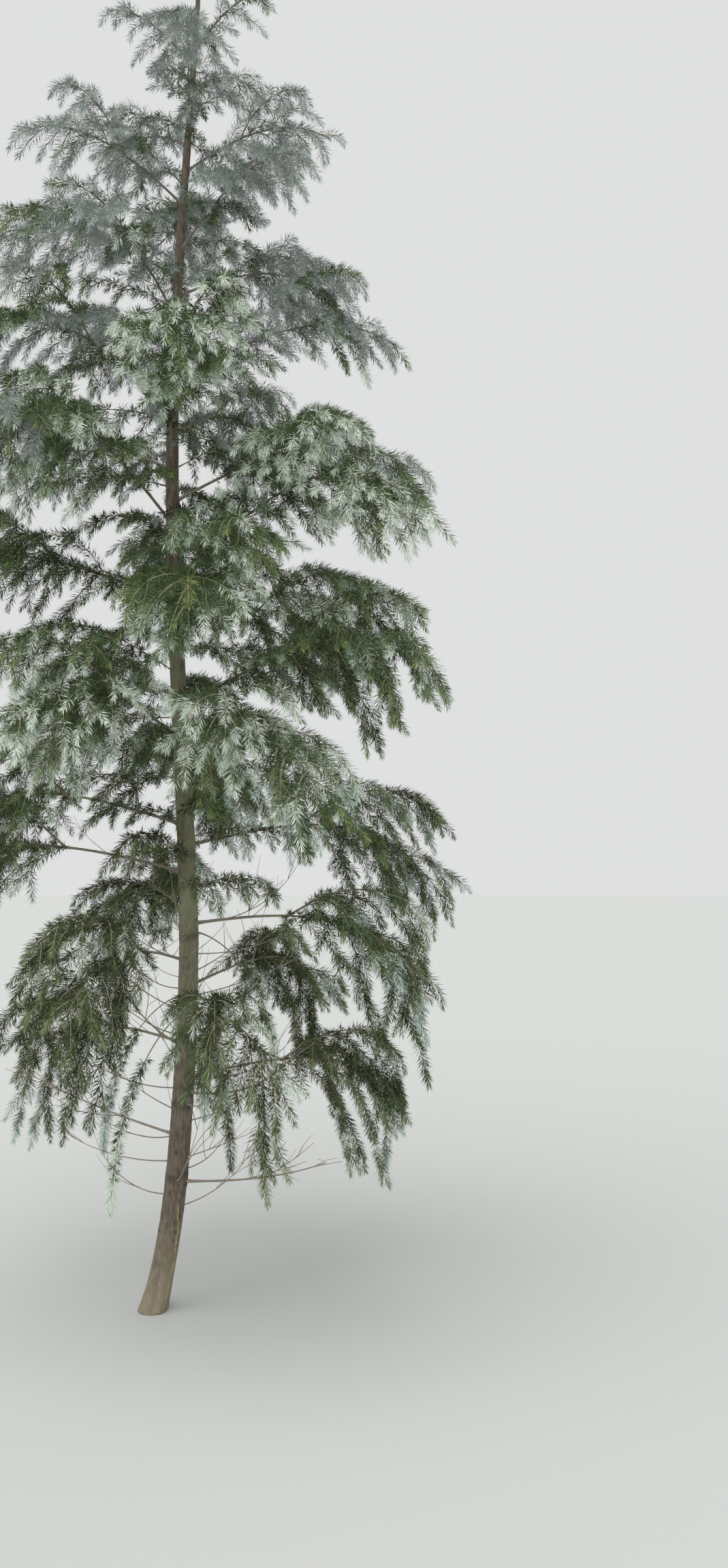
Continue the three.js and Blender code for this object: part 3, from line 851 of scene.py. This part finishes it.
def tuft_rows(curve, radii, span, kinds, rng):
    """Tufts of needles on the short spurs of older wood."""
    count = int(line_length(curve) * (span[1] - span[0]) / TUFT_SPACING)
    share, here, spur = spread_out(curve, radii, span, count, TUFT_TURN_PLAY, rng)
    axis = unit(spur + SPUR_LEAN * here["tangent"])
    root = here["point"] + (here["radius"] + SPUR_LENGTH)[:, None] * spur
    kind = rng.choice(kinds, count)
    turn = rng.uniform(0, 2 * np.pi, (count, TUFT_NEEDLES))
    side = unit(np.cross(axis, here["tangent"]))
    other = np.cross(axis, side)
    out = np.cos(turn)[..., None] * side[:, None] + np.sin(turn)[..., None] * other[:, None]
    tilt = rng.uniform(*TUFT_TILT, (count, TUFT_NEEDLES))
    long = NEEDLE_LENGTH * rng.uniform(*TUFT_NEEDLE_PLAY, (count, TUFT_NEEDLES))
    root, axis, kind = (np.repeat(values, TUFT_NEEDLES, axis=0) for values in (root, axis, kind))
    return np.column_stack([root, axis, out.reshape(-1, 3), tilt.ravel(), long.ravel(), kind])


def needle_solids(rows, rng):
    """Every needle as two long faces that meet in a fold along its spine: corners, triangles and kinds."""
    root, axis, out = rows[:, 0:3], rows[:, 3:6], rows[:, 6:9]
    tilt, length = np.radians(rows[:, 9])[:, None], rows[:, 10][:, None]
    along = unit(np.cos(tilt) * axis + np.sin(tilt) * out - (0, 0, NEEDLE_SAG))
    side = unit(np.cross(axis, out))
    roll = rng.uniform(-NEEDLE_ROLL, NEEDLE_ROLL, (len(rows), 1))
    flat = unit(np.cos(roll) * side + np.sin(roll) * np.cross(along, side))
    face = np.cross(flat, along)
    middle = root + WIDEST_PLACE * length * along + NEEDLE_FOLD * face
    half = NEEDLE_WIDTH / 2 * flat
    corners = np.stack([root, middle + half, root + length * along, middle - half], axis=1)
    first = 4 * np.arange(len(rows))[:, None]
    triangles = np.stack([first + [0, 1, 2], first + [0, 2, 3]], axis=1)
    return corners.reshape(-1, 3), triangles.reshape(-1, 3), np.repeat(rows[:, 11].astype(int), 2)


def kinds_for(point, lit, rng):
    """The kinds of needle along a spray: brighter further out and on the limbs that are lit, olive low down
    and greyer further up. The brighter sprays further out and on the lit limbs are painted light, the darker
    ones near the trunk and at the crown's foot are painted shade besides older needles, and the grey up high
    is painted haze."""
    height = point[2]
    reach = np.linalg.norm((point - trunk_centre(height))[:2]) / max(LEAST_REACH, crown_reach(height))
    low = clamp((LOW_TO - height) / (LOW_TO - LOW_FROM), 0, 1)
    high = clamp((height - HIGH_FROM) / (HIGH_FULL - HIGH_FROM), 0, MOST_PAINTED_HAZE)
    # painted light: brighter sprays further out, and many more on the limbs that catch the light
    bright = clamp(reach - BRIGHT_FROM, *BRIGHT_CHANCE) + (LIT_CHANCE + reach if lit else 0)
    # painted shade: darker sprays near the trunk, and more of them at the crown's foot
    shade = clamp(SHADE_INSIDE - SHADE_LOST * reach, *SHADE_CHANCE) + LOW_SHADE * low
    chances = np.array([bright, FRESH_CHANCE, GREEN_CHANCE, shade])
    spray = SPRAYS[rng.choice(list(SPRAYS), p=chances / chances.sum())]
    # painted haze: lighter, greyer sprays further up, but not on the lit limbs
    if not lit and rng.random() < high:
        spray = [HIGH_KINDS.get(kind, kind) for kind in spray]
    # olive at the crown's foot: a yellower green, darkened in part as painted shade
    if rng.random() < MOST_OLIVE * low:
        spray = [LOW_KINDS.get(kind, kind) for kind in spray]
    return [list(NEEDLE_COLOURS).index(kind) for kind in spray]


def grow(seed, mass_limbs):
    """A mass grown out to its needles: the needles' rows, and each twig's corners and triangles."""
    rng = np.random.default_rng(seed)
    rows = []
    twigs = []
    for limb in mass_limbs:
        number, needled_from = limb["number"], limb["needled_from"]
        curve = smooth(limb["line"], LIMB_SPACING)
        radii = taper(curve, limb["radius"], TIP_RADIUS)
        hanging = limb.get("hanging", False)
        lit = hanging or number in BRIGHT_BRANCHES
        kinds = kinds_for(curve["point"][-1], lit, rng)
        rows.append(tuft_rows(curve, radii, (needled_from, TUFTS_TO), kinds[:2], rng))
        rows.append(needle_rows(curve, radii, (LIMB_NEEDLES_FROM, 1), kinds, rng))
        if hanging:
            density = LOW_HANGING_DENSITY * NEEDLES_PER_MM
            rows.append(needle_rows(curve, radii, (needled_from, 1), kinds, rng, density))
        shoots = limb["shoots"] if "shoots" in limb else side_shoots(limb)
        for shoot in shoots:
            curve = smooth(shoot, SHOOT_STEP)
            radii = taper(curve, SHOOT_RADIUS, TWIG_TIP_RADIUS, 1)
            kinds = kinds_for(curve["point"][-1], lit, rng)
            twigs.append(twig_solid(curve, radii))
            rows.append(needle_rows(curve, radii, (SHOOT_NEEDLES_FROM, 1), kinds, rng))
            for twig in hanging_twigs(shoot, number, rng):
                curve = smooth(twig, TWIG_STEP)
                radii = taper(curve, TWIG_RADIUS, TWIG_TIP_RADIUS, 1)
                twigs.append(twig_solid(curve, radii))
                rows.append(needle_rows(curve, radii, (TWIG_NEEDLES_FROM, 1), kinds, rng))
    return np.vstack(rows), twigs


def linear(colour):
    """An sRGB hex colour as linear values, with an alpha of 1."""
    parts = [int(colour[i : i + 2], 16) / 255 for i in (1, 3, 5)]
    return (*(part / 12.92 if part <= 0.04045 else ((part + 0.055) / 1.055) ** 2.4 for part in parts), 1)


def add_node(tree, kind, inputs=None, **settings):
    """Adds a node with its settings, and its inputs, each a value or the output that it comes from."""
    node = tree.nodes.new(kind)
    for name, value in settings.items():
        setattr(node, name, value)
    for name, value in (inputs or {}).items():
        if isinstance(value, bpy.types.NodeSocket):
            tree.links.new(value, node.inputs[name])
        else:
            node.inputs[name].default_value = value
    return node


def new_material(name):
    material = bpy.data.materials.new(name)
    material.use_nodes = True
    material.node_tree.nodes.clear()
    return material


def plain_material(name, colour, roughness, shine):
    material = new_material(name)
    tree = material.node_tree
    surface = add_node(
        tree,
        "ShaderNodeBsdfPrincipled",
        {"Base Color": linear(colour), "Roughness": roughness, "Specular IOR Level": shine},
    )
    add_node(tree, "ShaderNodeOutputMaterial", {"Surface": surface.outputs[0]})
    return material


MIX_FACTOR, MIX_UNDER, MIX_OVER, MIX_RESULT = 0, 6, 7, 2  # the colour sockets of a Mix node


def bark_material(name, dark, light, film, film_share, grain):
    """Smooth young cedar bark: finely cracked along the stem, with a thin film of algae higher up, paler and
    speckled at the foot. Its streaks are a grain apart, and its colours lie in coats over the dark one."""
    material = new_material(name)
    tree = material.node_tree
    place = add_node(tree, "ShaderNodeTexCoord").outputs["Object"]
    height = add_node(tree, "ShaderNodeSeparateXYZ", {"Vector": place}).outputs["Z"]
    along = add_node(tree, "ShaderNodeMapping", {"Vector": place, "Scale": STREAK_STRETCH}).outputs[0]
    round_it = add_node(tree, "ShaderNodeMapping", {"Vector": place, "Scale": BAND_STRETCH}).outputs[0]
    noises = {}
    for label, space, scale, detail, roughness in (
        ("streaks", along, 1 / (grain * MM), 6, 0.62),
        ("bands", round_it, 1 / (BAND_SPACING * grain * MM), 4, 0.5),
        ("patches", place, PATCHES_PER_METRE, 5, 0.5),
        ("crusts", along, CRUSTS_PER_METRE, 4, 0.5),
        ("cracks", along, 1 / (CRACK_SPACING * grain * MM), 7, 0.7),
    ):
        values = {"Vector": space, "Scale": scale, "Detail": detail, "Roughness": roughness}
        noises[label] = add_node(tree, "ShaderNodeTexNoise", values).outputs["Fac"]
    cells = add_node(tree, "ShaderNodeTexVoronoi", {"Vector": place, "Scale": 1 / (SPECK_SPACING * MM)})
    lichen = add_node(tree, "ShaderNodeAttribute", attribute_name="lichen").outputs["Fac"]
    scar = add_node(tree, "ShaderNodeAttribute", attribute_name="scar").outputs["Fac"]

    # The worn foot and the film keep to the patches, and to their own stretches of the height
    worn = filmed = noises["patches"]
    values = {"Value": height, "From Min": FOOT_TO * MM, "From Max": FOOT_FROM * MM, "To Max": worn}
    worn = add_node(tree, "ShaderNodeMapRange", values).outputs[0]
    for begins, full in ((FILM_FROM, FILM_TO), (FILM_END, FILM_FADE)):
        values = {"Value": height, "From Min": begins * MM, "From Max": full * MM, "To Max": filmed}
        filmed = add_node(tree, "ShaderNodeMapRange", values).outputs[0]

    # Each coat: what it follows, where that makes it begin and be full, its amount there, and its colour
    shade = linear(dark)
    for source, begins, full, most, colour in (
        (noises["streaks"], 0.3, 0.7, 1, light),
        (noises["bands"], 0.45, 0.72, 0.28, dark),
        (worn, 0.2, 0.5, 0.58, FOOT_BARK),
        (filmed, 0.15, 0.6, film_share, film),
        (noises["crusts"], 0.46, 0.56, lichen, LICHEN_CRUST),
        (cells.outputs["Distance"], 0.11, 0.07, worn, SPECK_COLOUR),
        (scar, 0, 1, 1, SCAR_COLOUR),
    ):
        values = {"Value": source, "From Min": begins, "From Max": full, "To Max": most}
        amount = add_node(tree, "ShaderNodeMapRange", values).outputs[0]
        sockets = {MIX_FACTOR: amount, MIX_UNDER: shade, MIX_OVER: linear(colour)}
        shade = add_node(tree, "ShaderNodeMix", sockets, data_type="RGBA").outputs[MIX_RESULT]

    values = {"Strength": 0.5, "Distance": CRACK_DEPTH * MM, "Height": noises["cracks"]}
    relief = add_node(tree, "ShaderNodeBump", values).outputs["Normal"]
    surface = add_node(
        tree,
        "ShaderNodeBsdfPrincipled",
        {"Base Color": shade, "Roughness": 0.86, "Specular IOR Level": 0.3, "Normal": relief},
    )
    add_node(tree, "ShaderNodeOutputMaterial", {"Surface": surface.outputs[0]})
    return material


def finish_piece(name, mesh, materials, nodes):
    """An object for a finished mesh, which rides with the tree and stands for these nodes."""
    for material in materials:
        mesh.materials.append(material)
    piece = bpy.data.objects.new(name, mesh)
    bpy.context.scene.collection.objects.link(piece)
    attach(piece, "root")
    if nodes:
        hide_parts(*nodes)


def mesh_of(name, corners, triangles, kinds):
    mesh = bpy.data.meshes.new(name)
    mesh.vertices.add(len(corners))
    mesh.vertices.foreach_set("co", (corners * MM).astype(np.float32).ravel())
    mesh.loops.add(triangles.size)
    mesh.loops.foreach_set("vertex_index", triangles.astype(np.int32).ravel())
    mesh.polygons.add(len(triangles))
    mesh.polygons.foreach_set("loop_start", np.arange(0, triangles.size, 3, dtype=np.int32))
    mesh.polygons.foreach_set("material_index", kinds.astype(np.int32))
    mesh.update(calc_edges=True)
    return mesh


def station_matrix(curve, i, radius):
    """The place, turn and size of a ring of radius 1 at one station."""
    rows = [radius * curve[name][i] for name in ("across", "up", "tangent")] + [curve["point"][i]]
    return Matrix(np.column_stack([np.array(rows) * MM, [0, 0, 0, 1]]).tolist()).transposed()


def drawn_tube(curve, radii, sides):
    """A tube drawn along a curve: a ring that is extruded from station to station, closed at both ends."""
    shape = bmesh.new()
    placed = station_matrix(curve, 0, radii[0])
    bmesh.ops.create_circle(shape, cap_ends=True, segments=sides, radius=1, matrix=placed)
    edges = list(shape.edges)
    for i in range(1, len(radii)):
        made = bmesh.ops.extrude_edge_only(shape, edges=edges)["geom"]
        corners = [part for part in made if isinstance(part, bmesh.types.BMVert)]
        edges = [part for part in made if isinstance(part, bmesh.types.BMEdge) and part.is_boundary]
        moved = station_matrix(curve, i, radii[i])
        bmesh.ops.transform(shape, matrix=moved @ placed.inverted(), verts=corners)
        placed = moved
    bmesh.ops.edgeloop_fill(shape, edges=edges)
    bmesh.ops.recalc_face_normals(shape, faces=shape.faces)
    return shape


def joined(name, shapes):
    """One mesh of several finished shapes, shaded smooth."""
    whole = bmesh.new()
    part = bpy.data.meshes.new("part")
    for shape in shapes:
        shape.to_mesh(part)
        shape.free()
        whole.from_mesh(part)
        part.clear_geometry()
    bpy.data.meshes.remove(part)
    for face in whole.faces:
        face.smooth = True
    mesh = bpy.data.meshes.new(name)
    whole.to_mesh(mesh)
    whole.free()
    return mesh


def uneven(point, size, seed):
    """Smooth chance values from about -1 to 1 that change over this size, for a point in metres."""
    return noise.noise(point / (size * MM) + Vector((seed, 2 * seed, 3 * seed)))


def wood(limb, spacing, sides, tip_radius, knobs):
    """A limb's wood with a collar at its root and the low knobs of old spurs along it."""
    curve = smooth(limb["line"], spacing)
    radii = taper(curve, limb["radius"], tip_radius)
    far = np.linalg.norm(curve["point"] - curve["point"][0], axis=1)
    # The collar begins at the trunk's skin. Forks and the leader, whose knobs are 0, have it at their root
    root = trunk_radius(curve["point"][0][2]) if knobs else 0
    radii = radii * (1 + COLLAR * np.exp(-np.maximum(0, far - root) / COLLAR_LENGTH))
    shape = drawn_tube(curve, radii, sides)
    shape.normal_update()
    for corner in shape.verts:
        lumps = sum(lift * uneven(corner.co, size, seed + 1) for seed, (lift, size) in enumerate(KNOBS))
        corner.co += corner.normal * lumps * MM * min(1, knobs + LEAST_KNOBS)
    return shape


def bark_scars():
    """The places where branches were shed: height, angle round the trunk and size."""
    rng = np.random.default_rng(SEED)
    heights = np.linspace(LOWEST_SCAR, HIGHEST_SCAR, SCARS) + rng.normal(0, SCAR_HEIGHT_PLAY, SCARS)
    angles = rng.uniform(-np.pi, np.pi, SCARS)
    return np.column_stack([heights, angles, rng.uniform(*SCAR_SIZE, SCARS)])


def turned_from(angle, other):
    """How far round the trunk an angle is from another one, from minus pi to pi."""
    return np.angle(np.exp(1j * (angle - other)))


def trunk_relief(height, angle, radius):
    """How far the bark stands out at each of these places on the trunk, and how dark it is there."""
    lift = radius * BUTTRESS_DEPTH * np.exp(-height / BUTTRESS_HEIGHT) * np.cos(BUTTRESSES * angle)
    waver = RIDGE_WANDER * np.sin(height / RIDGE_WAVE)
    lift += RIDGE_LIFT * np.exp(-height / RIDGE_FADE) * np.sin(RIDGES * angle + waver)
    dark = np.zeros(len(height))
    for at_height, at_angle, size in bark_scars():
        gap = turned_from(angle, at_angle) * radius
        spread = ((height - at_height) / size) ** 2 + (gap / (SCAR_WIDTH * size)) ** 2
        lift += SCAR_LIFT * size * (np.exp(-spread * SCAR_LIP) - SCAR_DEPTH * np.exp(-spread * SCAR_PIT))
        dark = np.maximum(dark, DARKEST["scar"] * np.exp(-spread * SCAR_DARK))
    for whorl in WHORLS:
        off = height - whorl - WHORL_WAVE * np.sin(2 * angle + whorl)
        ring = np.exp(-((off / WHORL_HEIGHT) ** 2))
        lift += WHORL_LIFT * ring * lerp(np.sin(3 * angle + whorl), 1, WHORL_EVEN)
        dark = np.maximum(dark, DARKEST["whorl"] * ring)
    for limb in [*branches, *dead_limbs]:
        gap = turned_from(angle, np.radians(limb["line"]["heading"][0] - 90)) * radius
        size = LIMB_COLLAR * limb["radius"]
        off = height - limb["line"]["point"][0][2]
        spread = (off / (LIMB_COLLAR_HEIGHT * size)) ** 2 + (gap / size) ** 2
        lift += LIMB_COLLAR_LIFT * limb["radius"] * np.exp(-spread)
        dark = np.maximum(dark, DARKEST["limb"] * np.exp(-((spread - LIMB_RING) ** 2) * LIMB_RING_FADE))
    return lift, dark


def trunk_shape():
    """The trunk with its root flare, low ridges, branch collars and scars, as relief in the mesh."""
    low = np.arange(0, LOW_RINGS_TO, LOW_RING_SPACING)
    high = np.linspace(LOW_RINGS_TO, TRUNK_TOP, round((TRUNK_TOP - LOW_RINGS_TO) / HIGH_RING_SPACING) + 1)
    heights = np.concatenate([low, high])
    count = len(heights)
    curve = {
        "point": trunk_centre(heights),
        "across": np.tile([0.0, 1.0, 0.0], (count, 1)),
        "up": np.tile([-1.0, 0.0, 0.0], (count, 1)),
        "tangent": np.tile([0.0, 0.0, 1.0], (count, 1)),
    }
    shape = drawn_tube(curve, trunk_radius(heights), TRUNK_SIDES)
    scar_layer = shape.verts.layers.float.new("scar")
    lichen_layer = shape.verts.layers.float.new("lichen")
    places = np.array([corner.co for corner in shape.verts]) / MM
    height = places[:, 2]
    centre = trunk_centre(height)
    angle = np.arctan2(-(places[:, 0] - centre[:, 0]), places[:, 1] - centre[:, 1])
    radius = trunk_radius(height)
    lift, dark = trunk_relief(height, angle, radius)
    for corner, out, turn, up, far, mark in zip(shape.verts, lift, angle, height, radius, dark):
        here = Vector((math.cos(turn), math.sin(turn), 0)) * PATTERN_RADIUS * MM
        bumps = BUMPS[0] * uneven(here + Vector((0, 0, up * MM)), BUMPS[1], 3)
        cracks = CRACKS[0] * uneven(here + Vector((0, 0, up * MM / CRACK_STRETCH)), CRACKS[1], 4)
        push = (out + (bumps + cracks) * min(1, far / FULL_RELIEF)) * MM
        corner[scar_layer] = mark
        middle = LICHEN_ANGLE + LICHEN_WANDER * math.sin(up / LICHEN_WAVE)
        off_streak = math.remainder(turn - middle, 2 * math.pi)
        fade = clamp(up / LICHEN_FROM, 0, 1) * clamp((LICHEN_TO - up) / LICHEN_FADE, 0, 1)
        corner[lichen_layer] = fade * math.exp(-((off_streak / LICHEN_WIDTH) ** 2))
        if 0 < up < TRUNK_TOP:  # the rings at both ends stay in place
            corner.co.x -= math.sin(turn) * push
            corner.co.y += math.cos(turn) * push
    return shape


def bare_twig(start, heading, rise, length, radius, forks, rng):
    """A thin dead twig that curves upwards, with a few shorter ones on it."""
    path = course(
        start=start,
        heading=heading,
        drift=rng.uniform(-BARE_DRIFT, BARE_DRIFT),
        rise=rise,
        fall=pick(BARE_END, rng.random),
        length=length,
        steps=BARE_STEPS,
        sag=1,
    )
    shapes = []
    for kept in kept_part(path, None, BARE_ROOM):
        curve = smooth(kept, BARE_STEP)
        shapes.append(drawn_tube(curve, taper(curve, radius, TWIG_TIP_RADIUS, 1), BARE_SIDES))
        for j in range(forks):
            root = at(kept, rng.uniform(*BARE_FORK_PLACE))
            spread = (-1 if j % 2 else 1) * pick(BARE_FORK_SPREAD, rng.random)
            shapes += bare_twig(
                start=root["point"],
                heading=root["heading"] + spread,
                rise=root["elevation"] + pick(BARE_RISE, rng.random),
                length=length * pick(BARE_FORK_SHARE, rng.random),
                radius=BARE_FORK_RADIUS * radius,
                forks=0,
                rng=rng,
            )
    return shapes


def bare_twigs():
    """All the thin dead twigs on the trunk's lower part and on the boughs' bare parts."""
    rng = np.random.default_rng(DEAD_SEED)
    shapes = []
    for k in range(BARE_TWIGS):
        height = lerp(BARE_FROM, BARE_TO, (k + rng.random()) / BARE_TWIGS)
        heading = GOLDEN_ANGLE * k + rng.uniform(-BARE_HEADING_PLAY, BARE_HEADING_PLAY)
        shapes += bare_twig(
            start=trunk_centre(height) + BARE_ROOT * trunk_radius(height) * direction(heading, 0),
            heading=heading,
            rise=pick(BARE_RISE, rng.random),
            length=pick(BARE_LENGTH, rng.random),
            radius=BARE_RADIUS,
            forks=BARE_FORKS,
            rng=rng,
        )
    for limb in branches[:BOUGHS]:
        for j in range(BOUGH_TWIGS):
            root = at(limb["line"], rng.uniform(*BOUGH_TWIG_PLACE))
            shapes += bare_twig(
                start=root["point"],
                heading=root["heading"] + (-1 if j % 2 else 1) * pick(BARE_FORK_SPREAD, rng.random),
                rise=root["elevation"] + 2 * pick(BARE_RISE, rng.random),
                length=pick(BOUGH_TWIG_LENGTH, rng.random),
                radius=BOUGH_TWIG_RADIUS,
                forks=1,
                rng=rng,
            )
    return shapes


def dead_twig(fork, turn, number, rng):
    """A fine twig on a dead limb's fork, in a list, which is empty where there is no room for it."""
    base = at(fork, rng.uniform(*DEAD_TWIG_PLACE))
    path = course(
        start=base["point"],
        heading=base["heading"] + turn * rng.uniform(*DEAD_TWIG_SPREAD),
        drift=rng.uniform(-DEAD_TWIG_DRIFT, DEAD_TWIG_DRIFT),
        rise=base["elevation"] + rng.uniform(*DEAD_TWIG_RISE),
        fall=base["elevation"] + rng.uniform(*DEAD_TWIG_FALL),
        length=rng.uniform(*DEAD_TWIG_LENGTH),
        steps=TWIG_STEPS,
        sag=1,
    )
    curves = [smooth(twig, BARE_STEP) for twig in kept_part(path, number, DEAD_TWIG_ROOM)]
    return [
        drawn_tube(curve, taper(curve, DEAD_TWIG_RADIUS, TWIG_TIP_RADIUS, 1), BARE_SIDES) for curve in curves
    ]


def dead_shapes(limb):
    """A dead limb with its bare forks and the finer twigs on them."""
    shapes = [wood(limb, LIMB_SPACING, LIMB_SIDES, DEAD_TIP_RADIUS, DEAD_KNOBS)]
    draw, length, number = limb["draw"], limb["length"], limb["number"]
    rng = np.random.default_rng(DEAD_SEED + number)
    for j in range(DEAD_FORKS):
        share = lerp(FIRST_DEAD_FORK, LAST_DEAD_FORK, (j + draw()) / DEAD_FORKS)
        root = at(limb["line"], share)
        spread = (-1 if j % 2 else 1) * pick(DEAD_FORK_SPREAD, draw)
        path = course(
            start=root["point"],
            heading=root["heading"] + spread,
            drift=DEAD_FORK_DRIFT * spread,
            rise=root["elevation"] + pick(DEAD_FORK_RISE, draw),
            fall=pick(DEAD_FORK_FALL, draw),
            length=length * pick(DEAD_FORK_LENGTH, draw),
            steps=DEAD_FORK_STEPS,
            sag=1,
        )
        thick = DEAD_FORK_RADIUS * lerp(limb["radius"], DEAD_TIP_RADIUS, share)
        for fork in kept_part(path, number, DEAD_ROOM):
            curve = smooth(fork, LIMB_SPACING)
            radii = taper(curve, thick, DEAD_FORK_TIP_RADIUS, 1)
            shapes.append(drawn_tube(curve, radii, DEAD_FORK_SIDES))
            shapes += [shape for turn in DEAD_TWIG_TURNS for shape in dead_twig(fork, turn, number, rng)]
    return shapes


def camera_and_light():
    """The photograph's view from standing eye height, and a studio like its overcast sky."""
    camera = bpy.data.cameras.new("camera")
    camera.sensor_width = SENSOR_SIZE
    camera.lens = SENSOR_SIZE * FOCAL_PIXELS / FRAME_HEIGHT
    seen_from = bpy.data.objects.new("camera", camera)
    seen_from.location = Vector(CAMERA_PLACE) * MM
    seen_from.rotation_euler = (math.radians(90 + CAMERA_PITCH), 0, 0)
    bpy.context.scene.collection.objects.link(seen_from)
    bpy.context.scene.camera = seen_from

    world = bpy.data.worlds.new("studio")
    world.use_nodes = True
    world.node_tree.nodes.clear()
    glow = {"Color": linear(SKY_COLOUR), "Strength": SKY_STRENGTH}
    sky = add_node(world.node_tree, "ShaderNodeBackground", glow)
    add_node(world.node_tree, "ShaderNodeOutputWorld", {"Surface": sky.outputs[0]})
    bpy.context.scene.world = world
    bpy.context.scene.view_settings.view_transform = "Standard"

    light = bpy.data.lights.new("overhead", "SUN")
    light.angle = math.radians(LIGHT_WIDTH)
    light.energy = LIGHT_STRENGTH
    lamp = bpy.data.objects.new("overhead", light)
    lamp.rotation_mode = "QUATERNION"
    lamp.rotation_quaternion = Vector(LIGHT_FROM).to_track_quat("Z", "Y")
    bpy.context.scene.collection.objects.link(lamp)

    ground = bmesh.new()
    bmesh.ops.create_circle(ground, cap_ends=True, segments=FLOOR_SIDES, radius=FLOOR_RADIUS)
    mesh = bpy.data.meshes.new("floor")
    ground.to_mesh(mesh)
    ground.free()
    mesh.materials.append(plain_material("matt_floor_paint", FLOOR_COLOUR, roughness=0.9, shine=0.2))
    floor = bpy.data.objects.new("floor", mesh)
    bpy.context.scene.collection.objects.link(floor)


camera_and_light()

# Young cedar bark, grown: matt grey-brown, with dark scars of shed branches and a faint yellow-green film
trunk_bark = bark_material("young_cedar_bark", "#4c4238", "#877c6f", "#949a78", film_share=0.745, grain=9)
# The thinner bark of living boughs: paler and greyer
bough_bark = bark_material("bough_bark", "#6e665a", "#aca395", "#979372", film_share=0.08, grain=5)
# Dead wood that has kept its bark: dry and pale brown
dead_bark = bark_material("dead_twig_bark", "#7d7164", "#b3a89b", "#8b876c", film_share=0.05, grain=4)
# The pale buff rind of one- and two-year shoots
shoot_rind = plain_material("young_shoot_rind", "#b0a487", roughness=0.8, shine=0.3)
# Waxy cedar needles, grown, in plain colours from this year's silvery ones to old ones deep in the crown.
# The shade and olive kinds are darkened in part as painted shade, and the haze kinds are painted haze,
# lighter and greyer
NEEDLE_COLOURS = {
    "silver": "#e0ebdd",
    "new": "#b3c6ae",
    "first_year": "#7f9474",
    "spring": "#86975f",
    "mature": "#576c46",
    "shade": "#445433",
    "old": "#354128",
    "painted_haze_tip": "#c4cdc8",
    "painted_haze": "#9fa8a4",
    "painted_haze_deep": "#7e8784",
    "olive": "#56633e",
    "olive_tip": "#82906a",
    "blue_tip": "#b9cbc1",
}
needle_materials = [
    plain_material(f"{kind}_needles", colour, roughness=0.6, shine=0.2)
    for kind, colour in NEEDLE_COLOURS.items()
]

finish_piece("trunk_bark", joined("trunk_bark", [trunk_shape()]), [trunk_bark], ["trunk"])

lesser_branches = [lesser_branch(k) for k in range(LESSER_BRANCHES)]
lesser_branches += [low_hanging_shoot(*place) for place in LOW_HANGING]
bough_shapes = [wood(limb, LIMB_SPACING, LIMB_SIDES, TIP_RADIUS, knobs=1) for limb in branches]
bough_shapes += [wood(limb, LIMB_SPACING, LIMB_SIDES, TIP_RADIUS, knobs=0) for limb in [*forks, leader]]
bough_shapes += [
    wood(limb, LESSER_STEP, LESSER_SIDES, LESSER_TIP_RADIUS, knobs=1) for limb in lesser_branches
]
bough_nodes = [f"bough_{number + 1:02}" for number in range(BOUGHS)]
finish_piece("bough_wood", joined("bough_wood", bough_shapes), [bough_bark], bough_nodes)

dead = [shape for limb in dead_limbs for shape in dead_shapes(limb)] + bare_twigs()
dead_nodes = [f"dead_twigs_{number + 1}" for number in range(DEAD_LIMBS)]
finish_piece("dead_twig_wood", joined("dead_twig_wood", dead), [dead_bark], dead_nodes)

# Each branch's mass also has the lesser branches that leave the trunk between it and the next one
roots = [branch["line"]["point"][0][2] for branch in branches]
masses = []
for number, branch in enumerate(branches):
    low = roots[number] if number else -math.inf
    high = roots[number + 1] if number + 1 < BRANCHES else math.inf
    near = [lesser for lesser in lesser_branches if low <= lesser["height"] < high]
    own = [branch, *forks[number : number + 1]]
    masses.append((f"needle_mass_{number + 1:02}", *grow(SEED + number, [*own, *near])))
leader["shoots"] = leader_shoots()
masses.append(("leading_shoot", *grow(SEED + BRANCHES, [leader])))


def finish_tier(label, tier):
    """One mesh of needles and one of twigs for a few neighbouring masses."""
    rng = np.random.default_rng(SEED + label)
    corners, triangles, kinds = needle_solids(np.vstack([rows for _, rows, _ in tier]), rng)
    nodes = [node for node, _, _ in tier]
    mesh = mesh_of(f"needles_{label}", corners, triangles, kinds)
    finish_piece(mesh.name, mesh, needle_materials, nodes)
    parts = [twig for _, _, twigs in tier for twig in twigs]
    starts = np.cumsum([0] + [len(corners) for corners, _ in parts])
    corners = np.vstack([corners for corners, _ in parts])
    triangles = np.vstack([triangles + start for (_, triangles), start in zip(parts, starts)])
    mesh = mesh_of(f"shoots_{label}", corners, triangles, np.zeros(len(triangles)))
    finish_piece(mesh.name, mesh, [shoot_rind], [])


tier = []
label = 1
for mass in masses:
    if tier and 2 * sum(len(rows) for _, rows, _ in [*tier, mass]) > MOST_TRIANGLES:
        finish_tier(label, tier)
        tier = []
        label += 1
    tier.append(mass)
finish_tier(label, tier)
